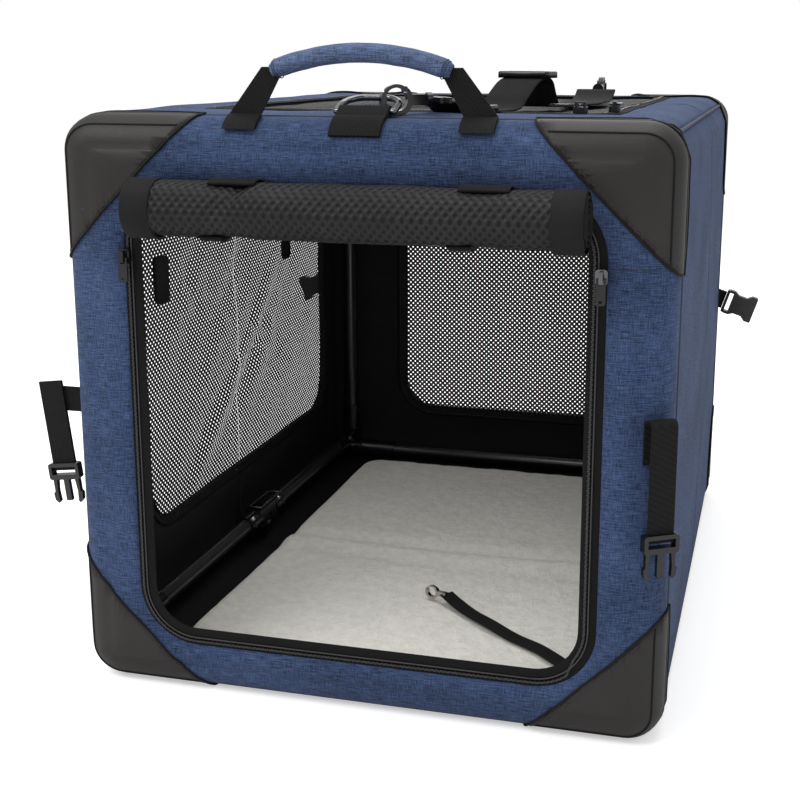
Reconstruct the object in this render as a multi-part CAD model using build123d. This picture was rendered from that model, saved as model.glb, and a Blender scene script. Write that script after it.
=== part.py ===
from build123d import *
import math
import os

# Soft-sided folding pet carrier. Millimetres, +Z up, +X to the right, front door at -Y.
# The origin is the middle of the footprint, on the ground.

# ---- driving sizes ---------------------------------------------------------
WIDTH = 460.0
DEPTH = 640.0
HEIGHT = 455.0
EDGE_R = 24.0          # rounding of the padded shell
FABRIC = 4.0           # padded fabric, with its lining
RIM = 30.0             # how far the end panels wrap round the edges
SEAM_GAP = 0.4         # gap where the two halves of a wall meet
FLOOR_FOLD_Y = -10.0   # fold line of the floor cloth

DOOR_W = WIDTH - 98
DOOR_H = HEIGHT - 89
DOOR_SILL = 42.0
DOOR_R = 46.0
REAR_WINDOW_W = WIDTH - 154
REAR_WINDOW_H = HEIGHT - 133
REAR_WINDOW_SILL = 66.0
REAR_WINDOW_R = 42.0
SIDE_WINDOW_FRONT = -(DEPTH / 2 - 114)
SIDE_WINDOW_REAR = DEPTH / 2 - 54
SIDE_WINDOW_SILL = 80.0
SIDE_WINDOW_H = HEIGHT - 155
SIDE_WINDOW_R = 48.0
TOP_WINDOW_W = WIDTH - 130
TOP_WINDOW_FRONT = -(DEPTH / 2 - 120)
TOP_WINDOW_REAR = DEPTH / 2 - 80
TOP_WINDOW_R = 16.0
MESH = 1.2
MESH_LAP = 12.0        # mesh sewn this far past the window edge

PATCH_LEG = 104.0      # corner patch along each edge from the corner
PATCH = 0.9
PATCH_GAP = 0.12

TAPE_W = 17.0          # zip tape
TAPE = 1.2
TAPE_LAP = 7.0         # tape outside the opening edge
TEETH_W = 4.6
TEETH = 1.6
TOP_TAPE_W = 14.0

TUBE_R = 8.0
TUBE_WALL = 1.2
SOCKET_R = 10.2
NEST = 5.4             # how far each elbow sits into the shell's rounding
LOOP_X = WIDTH / 2 - EDGE_R + NEST     # upright tubes
LOOP_Y = DEPTH / 2 - EDGE_R + NEST     # plane of an end frame
RAIL_Z = EDGE_R - NEST                 # lower rail; the upper one is as far under the roof
SOCKET_L = 56.0
TUBE_INSET = 14.0      # solid core of an elbow
SLIDE_FIT = 0.05
ARM_X_LOW = LOOP_X     # folding side arms, lower pair
ARM_STEP = 24.4        # the upper arms are inboard, so that the pairs pass
ARM_X_HIGH = LOOP_X - ARM_STEP
ARM_Z = 34.0           # height of the lower arms; the upper ones mirror it
PIVOT_INSET = 23.4     # end pivots, in from the end frame
PIVOT_Y = LOOP_Y - PIVOT_INSET
KNEE_DROP = 10.0       # knee pivot below the arm's axis
EAR_R = 9.0
EAR_T = 3.6
TONGUE_T = 9.6
EAR_GAP = 0.4
PIN_R = 2.5
PIN_HEAD_R = 4.4
PIN_HEAD = 1.4
ARM_SOCKET_R = 9.6
ARM_START = 14.0       # arm socket from its pivot
ARM_SOCKET_L = 30.0
ARM_SOCKET_BASE = 8.0  # solid end of that socket
KNEE_BLOCK = 44.0
WIRE_R = 1.2

PAD_W = WIDTH - 114
PAD_T = 18.0
PAD_FRONT = -(DEPTH / 2 - 50)
PAD_REAR = DEPTH / 2 - 64
PAD_R = 22.0
LIE_GAP = 0.3          # soft things resting on others

ROLL_R = 21.0
ROLL_L = WIDTH - 116
ROLL_X = 4.0
ROLL_Z = HEIGHT - 64
ROLL_BAND_W = 22.0
ROLL_STRAP_W = 22.0
ROLL_STRAP = 1.5
ROLL_STRAP_X = 104.0

WEB = 1.6              # webbing thickness
SEAM_R = EDGE_R + LIE_GAP          # webbing laid over the shell's rounded edge
HANDLE_X = 88.0
HANDLE_WEB_W = 25.0
HANDLE_Y = -(DEPTH / 2 - 18)
HANDLE_LIFT = 3.65     # hinge line above the roof
HANDLE_RISE = 30.0     # ends of the grip above the hinge line
HANDLE_ARCH = 10.0     # and its middle above its ends
HANDLE_LEAN = 22.0     # each leg leans in by this much
GRIP_R = 9.0
GRIP_FLAT = 0.78

RING_WIRE = 2.4
RING_W = 43.6
RING_L = 26.0
RING_BEND = 15.0
RING_TAB_W = 38.0
RING_Y = DEPTH / 2 - 28
RING_RISE = 20.0       # degrees that the front ring stands above the roof
RING_LIE = -3.5        # the rear ring lies on it
RING_FIT = 0.3

STRAP_W = 38.0         # shoulder strap
STRAP_X = 48.4         # front end of the strap, at its hook
STRAP_Y = -(DEPTH / 2 - 67.5)
STRAP_REAR = 104.0     # rear end of the strap
STRAP_TURN = -14.0     # its front half leans by this many degrees, seen from above
STRAP_HUMP = 24.0
HOOK_EYE = 8.0         # inner radius of a snap hook's eye
HOOK_BAR = 4.0
HOOK_T = 7.0
HOOK_NECK = 15.0
TETHER_SCALE = 0.54
TETHER_W = 10.0
TETHER_WEB = 1.2
TETHER_X = 30.0
TETHER_Y = -(DEPTH / 2 - 173)
TETHER_TURN = -40.3    # degrees from +X towards the door
TETHER_HOOK_TURN = -17.0

SIDE_WEB_W = 20.0
BUCKLE_W = 27.0
BUCKLE_L = 22.0
BUCKLE_T = 7.0
PRONG_L = 20.0
STRAP_ROOT_Z = 250.0

os.makedirs("parts", exist_ok=True)


# ---- helpers ---------------------------------------------------------------
def save(name, *solids):
    """Write one node: its separate solids, flattened."""
    flat = []
    for item in solids:
        for one in item if isinstance(item, (list, tuple)) else [item]:
            flat.extend(one.solids())
    export_step(Compound(children=flat) if len(flat) > 1 else flat[0], f"parts/{name}.step")


def block(x0, x1, y0, y1, z0, z1):
    size = (abs(x1 - x0), abs(y1 - y0), abs(z1 - z0))
    return Pos((x0 + x1) / 2, (y0 + y1) / 2, (z0 + z1) / 2) * Box(*size)


def rod(start, end, radius):
    a, b = Vector(*start), Vector(*end)
    plane = Plane(origin=a, z_dir=(b - a).normalized())
    return plane * Cylinder(radius, (b - a).length, align=(Align.CENTER, Align.CENTER, Align.MIN))


def pipe(start, end, radius=TUBE_R, wall=TUBE_WALL):
    return rod(start, end, radius) - rod(start, end, radius - wall)


def both_sides(shape):
    """The shape and its mirror across the carrier's middle plane."""
    return [shape, mirror(shape, Plane.YZ)]


def flip_y(shape):
    return mirror(shape, Plane.XZ)


def upside(shape):
    """Mirror between floor and roof."""
    return mirror(shape, Plane.XY.offset(HEIGHT / 2))


def soft_box(width, depth, height, radius, bottom):
    body = Pos(0, 0, bottom + height / 2) * Box(width, depth, height)
    return fillet(body.edges(), radius)


def outline_xz(width, height, radius, centre_x, bottom, at_y):
    """A rounded rectangle standing in an XZ plane."""
    plane = Plane(origin=(centre_x, at_y, bottom + height / 2), x_dir=(1, 0, 0), z_dir=(0, -1, 0))
    return plane * RectangleRounded(width, height, radius)


def yz_profile(sketch, x0, x1):
    """Extrude a sketch drawn in (y, z) between two X planes."""
    plane = Plane(origin=(x0, 0, 0), x_dir=(0, 1, 0), z_dir=(1, 0, 0))
    return extrude(plane * sketch, amount=x1 - x0)


def ribbon(points, radius, width, thickness, centre_x=0.0):
    """Webbing that follows (y, z) points in its own YZ plane."""
    path = FilletPolyline(*points, radius=radius)
    band = trace(Plane.XY * path, line_width=thickness)
    return yz_profile(band, centre_x - width / 2, centre_x + width / 2)


# ---- shell: two end panels, and walls, roof and floor in two halves --------
SHELL = soft_box(WIDTH, DEPTH, HEIGHT, EDGE_R, 0) - soft_box(
    WIDTH - 2 * FABRIC, DEPTH - 2 * FABRIC, HEIGHT - 2 * FABRIC, EDGE_R - FABRIC, FABRIC
)
CAP_Y = DEPTH / 2 - RIM
FLAT_X = WIDTH / 2 - EDGE_R
BIG = 2 * max(WIDTH, DEPTH, HEIGHT)


def side_window(grow=0.0):
    length = SIDE_WINDOW_REAR - SIDE_WINDOW_FRONT + 2 * grow
    middle = (SIDE_WINDOW_REAR + SIDE_WINDOW_FRONT) / 2
    plane = Plane(
        origin=(-WIDTH / 2, middle, SIDE_WINDOW_SILL + SIDE_WINDOW_H / 2), x_dir=(0, 1, 0), z_dir=(1, 0, 0)
    )
    return plane * RectangleRounded(length, SIDE_WINDOW_H + 2 * grow, SIDE_WINDOW_R + grow)


def top_window(grow=0.0):
    length = TOP_WINDOW_REAR - TOP_WINDOW_FRONT + 2 * grow
    middle = (TOP_WINDOW_REAR + TOP_WINDOW_FRONT) / 2
    plane = Plane(origin=(0, middle, HEIGHT))
    return plane * RectangleRounded(TOP_WINDOW_W + 2 * grow, length, TOP_WINDOW_R + grow)


def halves(shape, fold_y=0.0):
    """Front and rear parts of a wall, parted at its fold line."""
    gap = SEAM_GAP / 2
    front = shape & block(-BIG, BIG, -CAP_Y, fold_y - gap, -BIG, BIG)
    rear = shape & block(-BIG, BIG, fold_y + gap, CAP_Y, -BIG, BIG)
    return front, rear


def make_shell():
    front = SHELL & block(-BIG, BIG, -BIG, -CAP_Y, -BIG, BIG)
    door = extrude(outline_xz(DOOR_W, DOOR_H, DOOR_R, 0, DOOR_SILL, -DEPTH / 2), amount=FABRIC * 2, both=True)
    save("front_panel", front - door)
    rear = SHELL & block(-BIG, BIG, CAP_Y, BIG, -BIG, BIG)
    window = outline_xz(REAR_WINDOW_W, REAR_WINDOW_H, REAR_WINDOW_R, 0, REAR_WINDOW_SILL, DEPTH / 2)
    save("rear_panel", rear - extrude(window, amount=FABRIC * 2, both=True))
    left = SHELL & block(-BIG, -FLAT_X, -BIG, BIG, -BIG, BIG)
    right = mirror(left, Plane.YZ)
    left = left - extrude(side_window(), amount=FABRIC * 2, both=True)
    roof = SHELL & block(-FLAT_X, FLAT_X, -BIG, BIG, HEIGHT / 2, BIG)
    roof = roof - extrude(top_window(), amount=FABRIC * 2, both=True)
    floor = SHELL & block(-FLAT_X, FLAT_X, -BIG, BIG, -BIG, HEIGHT / 2)
    for name, wall, fold_y in (("left_wall", left, 0), ("right_wall", right, 0), ("roof", roof, 0),
                               ("floor", floor, FLOOR_FOLD_Y)):
        wall_front, wall_rear = halves(wall, fold_y)
        save(f"{name}_front", wall_front)
        save(f"{name}_rear", wall_rear)


def make_screens():
    """Mesh sewn inside the side and rear windows, and the roof window's mesh with its zip tape."""
    side_front, side_rear = halves(Pos(FABRIC, 0, 0) * extrude(side_window(MESH_LAP), amount=MESH))
    roof_front, roof_rear = halves(Pos(0, 0, -MESH) * extrude(top_window(), amount=MESH))
    lap = TOP_TAPE_W / 2
    zip_front, zip_rear = halves(extrude(top_window(lap) - top_window(-lap), amount=TAPE))
    rear = outline_xz(
        REAR_WINDOW_W + 2 * MESH_LAP, REAR_WINDOW_H + 2 * MESH_LAP, REAR_WINDOW_R + MESH_LAP,
        0, REAR_WINDOW_SILL - MESH_LAP, DEPTH / 2 - FABRIC,
    )
    save("front_half_screens", side_front, roof_front, zip_front)
    save("rear_half_screens", side_rear, roof_rear, zip_rear, extrude(rear, amount=MESH))


def make_patches():
    """Leatherette corner patches: a thin skin, cut off by one slanting plane at each corner."""
    grow = PATCH_GAP + PATCH
    outer = soft_box(WIDTH + 2 * grow, DEPTH + 2 * grow, HEIGHT + 2 * grow, EDGE_R + grow, -grow)
    inner = soft_box(WIDTH + 2 * PATCH_GAP, DEPTH + 2 * PATCH_GAP, HEIGHT + 2 * PATCH_GAP,
                     EDGE_R + PATCH_GAP, -PATCH_GAP)
    skin = (outer - inner) & block(-BIG, BIG, -BIG, BIG, 0, BIG)
    corner = Vector(WIDTH / 2, -DEPTH / 2, HEIGHT)
    inward = Vector(-1, 1, -1).normalized()
    face = Plane(origin=corner + inward * PATCH_LEG / math.sqrt(3), z_dir=-inward)
    cutter = face * Box(BIG, BIG, BIG, align=(Align.CENTER, Align.CENTER, Align.MIN))
    high = skin & cutter
    low = skin & upside(cutter)
    front = both_sides(high) + both_sides(low)
    save("front_corner_patches", front)
    save("rear_corner_patches", [flip_y(p) for p in front])


# ---- end frames: tube loops in moulded elbows ------------------------------
def make_elbow(x_ear, on_upright):
    """Lower right elbow of the rear frame, with two ears for a side arm."""
    core = Vector(LOOP_X, LOOP_Y, RAIL_Z)
    up = rod(core, core + Vector(0, 0, SOCKET_L), SOCKET_R)
    along = rod(core, core - Vector(SOCKET_L, 0, 0), SOCKET_R)
    body = up + along + Pos(core) * Sphere(SOCKET_R)
    ear_x = TONGUE_T / 2 + EAR_GAP
    root = (LOOP_Y, ARM_Z) if on_upright else (LOOP_Y, RAIL_Z)
    lobe = Pos(PIVOT_Y, ARM_Z) * Circle(EAR_R)
    arm = make_hull((lobe + Pos(*root) * Circle(EAR_R * 0.9)).edges())
    for side in (-1, 1):
        inner, outer = x_ear + side * ear_x, x_ear + side * (ear_x + EAR_T)
        body += yz_profile(arm, min(inner, outer), max(inner, outer))
    bore = TUBE_R + SLIDE_FIT
    body -= rod(core + Vector(0, 0, TUBE_INSET), core + Vector(0, 0, SOCKET_L + 1), bore)
    body -= rod(core - Vector(TUBE_INSET, 0, 0), core - Vector(SOCKET_L + 1, 0, 0), bore)
    pin = rod((x_ear - 20, PIVOT_Y, ARM_Z), (x_ear + 20, PIVOT_Y, ARM_Z), PIN_R)
    return body - pin


def pivot_pin(x, y, z):
    """Riveted pin across a clevis, with a domed head at each end."""
    reach = TONGUE_T / 2 + EAR_GAP + EAR_T
    pin = rod((x - reach, y, z), (x + reach, y, z), PIN_R - SLIDE_FIT)
    for side in (-1, 1):
        start = x + side * (reach + SLIDE_FIT)
        head = rod((start, y, z), (start + side * PIN_HEAD, y, z), PIN_HEAD_R)
        outer = head.faces().sort_by(Axis.X)[-1 if side > 0 else 0]
        pin += fillet(outer.edges(), PIN_HEAD * 0.7)
        pin += rod((x + side * reach, y, z), (start, y, z), PIN_R - SLIDE_FIT)
    return pin


def rivet(point, direction, radius=2.6, height=1.1):
    """Domed rivet head on a socket."""
    p = Vector(*point)
    head = rod(p, p + Vector(*direction) * height, radius)
    top = head.faces().sort_by(Axis(p, Vector(*direction)))[-1]
    return fillet(top.edges(), height * 0.8)


def make_frames():
    low_rail, high_rail = RAIL_Z, HEIGHT - RAIL_Z
    tubes = []
    for z in (low_rail, high_rail):
        tubes.append(pipe((-LOOP_X + TUBE_INSET, LOOP_Y, z), (LOOP_X - TUBE_INSET, LOOP_Y, z)))
    upright = pipe((LOOP_X, LOOP_Y, low_rail + TUBE_INSET), (LOOP_X, LOOP_Y, high_rail - TUBE_INSET))
    tubes += both_sides(upright)
    elbows = both_sides(make_elbow(ARM_X_LOW, True)) + both_sides(upside(make_elbow(ARM_X_HIGH, False)))
    pins = both_sides(pivot_pin(ARM_X_LOW, PIVOT_Y, ARM_Z))
    pins += both_sides(pivot_pin(ARM_X_HIGH, PIVOT_Y, HEIGHT - ARM_Z))
    heads = []
    for z, up in ((low_rail, 1), (high_rail, -1)):
        heads.append(rivet((LOOP_X - SOCKET_R, LOOP_Y, z + up * (SOCKET_L - 7)), (-1, 0, 0)))
        heads.append(rivet((LOOP_X - SOCKET_L + 7, LOOP_Y - SOCKET_R, z), (0, -1, 0)))
    rivets = [r for head in heads for r in both_sides(head)]
    for name, turn in (("rear", lambda s: s), ("front", flip_y)):
        save(f"{name}_frame_tubes", [turn(s) for s in tubes])
        save(f"{name}_frame_elbows", [turn(s) for s in elbows + pins + rivets])


# ---- folding side arms: a tube each way from a knee ------------------------
def knee_parts(x):
    """Right-hand lower arm pair at this x: rear tongue, front clevis, pin and rivets."""
    knee_z = ARM_Z - KNEE_DROP
    half = TONGUE_T / 2
    wide = half + EAR_GAP + EAR_T
    top = ARM_Z + KNEE_DROP
    relief = EAR_R + 0.6
    lobe = Pos(0, knee_z) * Circle(EAR_R)
    tongue = yz_profile(lobe + Pos(KNEE_BLOCK / 4, ARM_Z) * Rectangle(KNEE_BLOCK / 2, 2 * KNEE_DROP),
                        x - half, x + half)
    tongue -= block(x - BIG, x + BIG, -BIG, SEAM_GAP / 2, knee_z + relief, BIG)
    rear = tongue + block(x - wide, x + wide, relief, KNEE_BLOCK * 0.6, knee_z + SLIDE_FIT, top)
    rear += block(x - wide, x + wide, SEAM_GAP / 2, relief, knee_z + relief, top)
    rear += rod((x, KNEE_BLOCK * 0.5, ARM_Z), (x, KNEE_BLOCK, ARM_Z), KNEE_DROP)
    ears = lobe + Pos(-KNEE_BLOCK / 4 - SEAM_GAP / 4, ARM_Z) * Rectangle(KNEE_BLOCK / 2, 2 * KNEE_DROP)
    front = yz_profile(ears, x - wide, x + wide)
    front -= block(x - half - EAR_GAP, x + half + EAR_GAP, -relief, BIG, -BIG, BIG)
    front -= block(x - half - EAR_GAP, x + half + EAR_GAP, -BIG, BIG, -BIG, knee_z)
    front += rod((x, -KNEE_BLOCK * 0.4, ARM_Z), (x, -KNEE_BLOCK, ARM_Z), KNEE_DROP)
    bore = TUBE_R + SLIDE_FIT
    for part_sign in (1, -1):
        cut = rod((x, part_sign * KNEE_BLOCK * 0.62, ARM_Z), (x, part_sign * (KNEE_BLOCK + 1), ARM_Z), bore)
        if part_sign > 0:
            rear -= cut
        else:
            front -= cut
    hole = rod((x - 20, 0, knee_z), (x + 20, 0, knee_z), PIN_R)
    rear -= rod((x - 20, 0, knee_z), (x + 20, 0, knee_z), PIN_R + SLIDE_FIT)
    front -= hole
    rivets_rear = [rivet((x - KNEE_DROP, KNEE_BLOCK - 6, ARM_Z), (-1, 0, 0))]
    rivets_front = [rivet((x - KNEE_DROP, -KNEE_BLOCK + 6, ARM_Z), (-1, 0, 0)),
                    rivet((x - wide, -KNEE_BLOCK * 0.42, ARM_Z), (-1, 0, 0))]
    return rear, front, pivot_pin(x, 0, knee_z), rivets_rear, rivets_front


def end_fitting(x):
    """Rear end of an arm: a tongue on the end pivot, running into a tube socket."""
    half = TONGUE_T / 2
    mouth = PIVOT_Y - ARM_START
    socket = rod((x, mouth, ARM_Z), (x, mouth - ARM_SOCKET_L, ARM_Z), ARM_SOCKET_R)
    socket -= rod((x, mouth - ARM_SOCKET_BASE, ARM_Z), (x, mouth - BIG, ARM_Z), TUBE_R + SLIDE_FIT)
    nose = Pos(PIVOT_Y, ARM_Z) * Circle(EAR_R - 0.6)
    neck = Pos(PIVOT_Y - (ARM_START + 3) / 2, ARM_Z) * Rectangle(ARM_START + 3, 2 * EAR_R - 1.2)
    body = socket + yz_profile(nose + neck, x - half, x + half)
    return body - rod((x - 20, PIVOT_Y, ARM_Z), (x + 20, PIVOT_Y, ARM_Z), PIN_R + SLIDE_FIT)


def make_arms():
    for level, x, turn in (("base", ARM_X_LOW, lambda s: s), ("roof", ARM_X_HIGH, upside)):
        rear, front, pin, rivets_rear, rivets_front = knee_parts(x)
        tube = pipe((x, KNEE_BLOCK * 0.64, ARM_Z), (x, PIVOT_Y - ARM_START - ARM_SOCKET_BASE - 1, ARM_Z))
        end = end_fitting(x)

        def put(name, *solids):
            save(name, [s for one in solids for s in both_sides(turn(one))])

        put(f"{level}_rear_tubes", tube)
        put(f"{level}_front_tubes", flip_y(tube))
        put(f"{level}_rear_knuckles", rear, end, *rivets_rear)
        put(f"{level}_front_knuckles", front, flip_y(end), pin, *rivets_front)


LOCK_PIVOT_Y = 36.0
LOCK_NOSE_Y = -16.0
LOCK_HALF = 6.4


def make_lock_clips():
    """Spring wire clip over each lower knee, hinged on the rear knuckle."""
    z = ARM_Z + KNEE_DROP + WIRE_R + LIE_GAP
    for name, sign in (("left", -1), ("right", 1)):
        x = sign * ARM_X_LOW
        corners = [(x + dx, y, z) for dx, y in ((-LOCK_HALF, LOCK_PIVOT_Y), (-LOCK_HALF, LOCK_NOSE_Y),
                                                (LOCK_HALF, LOCK_NOSE_Y), (LOCK_HALF, LOCK_PIVOT_Y))]
        clip = Pos(*corners[0]) * Sphere(WIRE_R)
        for start, end in zip(corners, corners[1:] + corners[:1]):
            clip += rod(start, end, WIRE_R) + Pos(*end) * Sphere(WIRE_R)
        save(f"{name}_lock_clip", clip)


# ---- pad, tether and its hook ----------------------------------------------
def make_pad():
    bottom = FABRIC + LIE_GAP
    length = PAD_REAR - PAD_FRONT
    pad = Pos(0, (PAD_REAR + PAD_FRONT) / 2, bottom + PAD_T / 2) * Box(PAD_W, length, PAD_T)
    pad = fillet(pad.edges().filter_by(Axis.Z), PAD_R)
    pad = fillet(pad.edges().group_by(Axis.Z)[-1] + pad.edges().group_by(Axis.Z)[0], PAD_T * 0.4)
    gap = SEAM_GAP / 2
    save("pad_front", pad & block(-BIG, BIG, -BIG, -gap, 0, BIG))
    save("pad_rear", pad & block(-BIG, BIG, gap, BIG, 0, BIG))


# ---- zips ------------------------------------------------------------------
def ring_band(outer_grow, inner_grow, width, height, radius, bottom, y, amount):
    outer = outline_xz(width + 2 * outer_grow, height + 2 * outer_grow, radius + outer_grow, 0,
                       bottom - outer_grow, y)
    inner = outline_xz(width + 2 * inner_grow, height + 2 * inner_grow, radius + inner_grow, 0,
                       bottom - inner_grow, y)
    return extrude(outer - inner, amount=amount)


def make_door_zip():
    face = -DEPTH / 2
    tape = ring_band(TAPE_LAP, TAPE_LAP - TAPE_W, DOOR_W, DOOR_H, DOOR_R, DOOR_SILL, face, TAPE)
    teeth = ring_band(0, -TEETH_W, DOOR_W, DOOR_H, DOOR_R, DOOR_SILL, face - TAPE, TEETH)
    save("door_zip", tape, teeth)


SLIDER_L = 11.0
SLIDER_W = 8.5
SLIDER_T = 5.0
PULL_L = 22.0
PULL_T = 1.6


def slider(pull_length=PULL_L):
    """Zip slider at the origin, its track along Z and its face towards -Y, and its hanging pull."""
    body = block(-SLIDER_W / 2, SLIDER_W / 2, -SLIDER_T, -0.3, -SLIDER_L / 2, SLIDER_L / 2)
    body = fillet(body.edges().filter_by(Axis.Y), 2.4)
    bridge_y = -SLIDER_T - 2.6
    for z in (-3.2, 3.2):
        body += block(-1.4, 1.4, bridge_y, -SLIDER_T, z - 1.0, z + 1.0)
    body += block(-1.4, 1.4, bridge_y - 1.2, bridge_y, -4.2, 4.2)
    eye_z = -0.9
    eye_y = -SLIDER_T - 1.3
    loop = rod((-3.4, eye_y, eye_z), (3.4, eye_y, eye_z), 0.9)
    for x in (-3.4, 3.4):
        loop += block(x - 0.9, x + 0.9, eye_y - 0.9, eye_y + 0.9, -8.4, eye_z + 0.9)
    tab = block(-4.3, 4.3, eye_y - PULL_T / 2, eye_y + PULL_T / 2, -8 - pull_length, -7.6)
    tab = fillet(tab.edges().filter_by(Axis.Y), 2.2)
    tab -= rod((0, eye_y - 4, -pull_length - 4), (0, eye_y + 4, -pull_length - 4), 1.5)
    return body, loop + tab


DOOR_SLIDER_X = DOOR_W / 2 - TEETH_W / 2
DOOR_SLIDER_Z = DOOR_SILL + DOOR_H - 56
ROOF_SLIDER_X = TOP_WINDOW_W / 2 - 23
ROOF_SLIDER_Y = TOP_WINDOW_FRONT + 24


def make_sliders():
    y = -DEPTH / 2 - TAPE - TEETH
    for name, sign in (("left", -1), ("right", 1)):
        body, pull = slider()
        place = Pos(sign * DOOR_SLIDER_X, y, DOOR_SLIDER_Z)
        save(f"{name}_door_slider", place * body)
        save(f"{name}_door_pull", place * pull)
    z = HEIGHT + TAPE
    flat = Rot(-90, 0, 0)
    side_body, side_pull = slider(16.0)
    spots = (("roof_side", TOP_WINDOW_W / 2, ROOF_SLIDER_Y, 180), ("roof_front", ROOF_SLIDER_X, TOP_WINDOW_FRONT, -90))
    for name, x, y, turn in spots:
        place = Pos(x, y, z) * Rot(0, 0, turn) * flat
        save(f"{name}_slider", place * side_body)
        save(f"{name}_pull", place * side_pull)


# ---- rolled-up door --------------------------------------------------------
ROLL_Y = -DEPTH / 2 - ROLL_R - ROLL_STRAP - LIE_GAP * 2 - TAPE - TEETH


def make_roll():
    start, end = ROLL_X - ROLL_L / 2, ROLL_X + ROLL_L / 2
    pieces = [rod((start + ROLL_BAND_W, ROLL_Y, ROLL_Z), (end - ROLL_BAND_W, ROLL_Y, ROLL_Z), ROLL_R)]
    for x in (start, end - ROLL_BAND_W):
        band = rod((x, ROLL_Y, ROLL_Z), (x + ROLL_BAND_W, ROLL_Y, ROLL_Z), ROLL_R)
        pieces.append(fillet(band.edges(), 1.5))
    save("rolled_door", pieces)
    straps = []
    outer = ROLL_R + LIE_GAP + ROLL_STRAP
    for x in (-ROLL_STRAP_X, ROLL_STRAP_X):
        x0, x1 = x - ROLL_STRAP_W / 2, x + ROLL_STRAP_W / 2
        strap = rod((x0, ROLL_Y, ROLL_Z), (x1, ROLL_Y, ROLL_Z), outer)
        tab_top = DOOR_SILL + DOOR_H + TAPE_LAP + LIE_GAP
        strap += block(x0, x1, -DEPTH / 2 - ROLL_STRAP - LIE_GAP, -DEPTH / 2 - LIE_GAP, tab_top, tab_top + 16)
        strap += block(x0, x1, ROLL_Y, -DEPTH / 2 - LIE_GAP, tab_top, tab_top + ROLL_STRAP)
        strap += block(x0, x1, ROLL_Y, ROLL_Y + ROLL_STRAP, ROLL_Z + ROLL_R + LIE_GAP, tab_top + ROLL_STRAP)
        straps.append(strap - rod((x0 - 1, ROLL_Y, ROLL_Z), (x1 + 1, ROLL_Y, ROLL_Z), ROLL_R + LIE_GAP))
    save("door_roll_straps", straps)


# ---- webbing tabs, handle and rings ----------------------------------------
def edge_webbing(x, width, start, end, thickness=WEB):
    """Webbing over the rounded edge of roof and front, from one angle to another above level."""
    centre = Pos(-DEPTH / 2 + EDGE_R, HEIGHT - EDGE_R)
    band = centre * (Circle(SEAM_R + thickness) - Circle(SEAM_R))
    keep = Polygon((0, 0), *[(-BIG * math.cos(math.radians(a)), BIG * math.sin(math.radians(a)))
                             for a in (start, (start + end) / 2, end)], align=None)
    return yz_profile(band & centre * keep, x - width / 2, x + width / 2)


def make_handle():
    """Webbing legs from two anchor tabs up to a padded grip."""
    hinge_z = HEIGHT + HANDLE_LIFT
    half = HANDLE_WEB_W / 2
    anchors = [edge_webbing(sign * HANDLE_X, HANDLE_WEB_W, 30, 76, 2 * WEB) for sign in (-1, 1)]
    top = hinge_z + HANDLE_RISE
    legs = []
    front = Plane(origin=(0, HANDLE_Y + WEB / 2, 0), x_dir=(1, 0, 0), z_dir=(0, -1, 0))
    for sign in (-1, 1):
        foot, neck = sign * HANDLE_X, sign * (HANDLE_X - HANDLE_LEAN)
        outline = Polygon((foot - half, hinge_z), (foot + half, hinge_z), (neck + half * 0.7, top + 2),
                          (neck - half * 0.7, top + 2), align=None)
        legs.append(extrude(front * outline, amount=WEB))
    save("handle_legs", legs)
    ends = HANDLE_X - HANDLE_LEAN + 2
    arc = ThreePointArc((-ends, HANDLE_Y, top), (0, HANDLE_Y, top + HANDLE_ARCH), (ends, HANDLE_Y, top))
    section = Plane(origin=arc @ 0, x_dir=(0, 1, 0), z_dir=arc % 0) * Ellipse(GRIP_R * GRIP_FLAT, GRIP_R)
    grip = sweep(section, path=arc)
    for leg in legs:
        grip -= leg
    save("handle_grip", grip)
    return anchors


def d_ring():
    """D-ring whose straight bar lies on the X axis, bow towards +Y."""
    half = RING_W / 2
    bow = FilletPolyline((-half, 0, 0), (-half, RING_L, 0), (half, RING_L, 0), (half, 0, 0), radius=RING_BEND)
    ring = sweep(Plane(origin=bow @ 0, z_dir=bow % 0) * Circle(RING_WIRE), path=bow)
    ring += rod((-half, 0, 0), (half, 0, 0), RING_WIRE)
    for x in (-half, half):
        ring += Pos(x, 0, 0) * Sphere(RING_WIRE)
    return ring


RING_Z = HEIGHT + LIE_GAP + WEB + RING_FIT + RING_WIRE


def make_rings(anchors):
    """A D-ring at each end of the roof, in webbing folded over the rounded edge."""
    bore = RING_WIRE + RING_FIT
    half = RING_TAB_W / 2
    for name, turn, extra, rise in (("front", lambda s: s, anchors, RING_RISE), ("rear", flip_y, [], RING_LIE)):
        throat = Pos(-RING_Y - 9, HEIGHT + LIE_GAP + WEB) * Circle(WEB)
        sleeve = make_hull((Pos(-RING_Y, RING_Z) * Circle(bore + WEB) + throat).edges())
        sleeve -= Pos(-RING_Y, RING_Z) * Circle(bore)
        sleeve -= Pos(-DEPTH / 2 + EDGE_R, HEIGHT - EDGE_R) * Circle(SEAM_R)
        tab = yz_profile(sleeve, -half, half) + edge_webbing(0, RING_TAB_W, 28, 78, 2 * WEB)
        save(f"{name}_webbing_tabs", [turn(s) for s in [tab] + extra])
        ring = Pos(0, -RING_Y, RING_Z) * Rot(rise, 0, 0) * d_ring()
        save(f"{name}_ring", turn(ring))


# ---- snap hooks ------------------------------------------------------------
GATE_FROM = 50.0       # degrees round the eye, from the neck
GATE_TO = 165.0
GATE_GAP = 0.35


def sector(start, end, inner, outer):
    """Part of a ring in the XZ plane, as a flat (x, z) sketch."""
    middle = (start + end) / 2
    reach = outer * 3
    wedge = Polygon((0, 0), *[(reach * math.cos(math.radians(a)), reach * math.sin(math.radians(a)))
                              for a in (start, (start + middle) / 2, middle, (middle + end) / 2, end)],
                    align=None)
    return (Circle(outer) - Circle(inner)) & wedge


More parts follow.
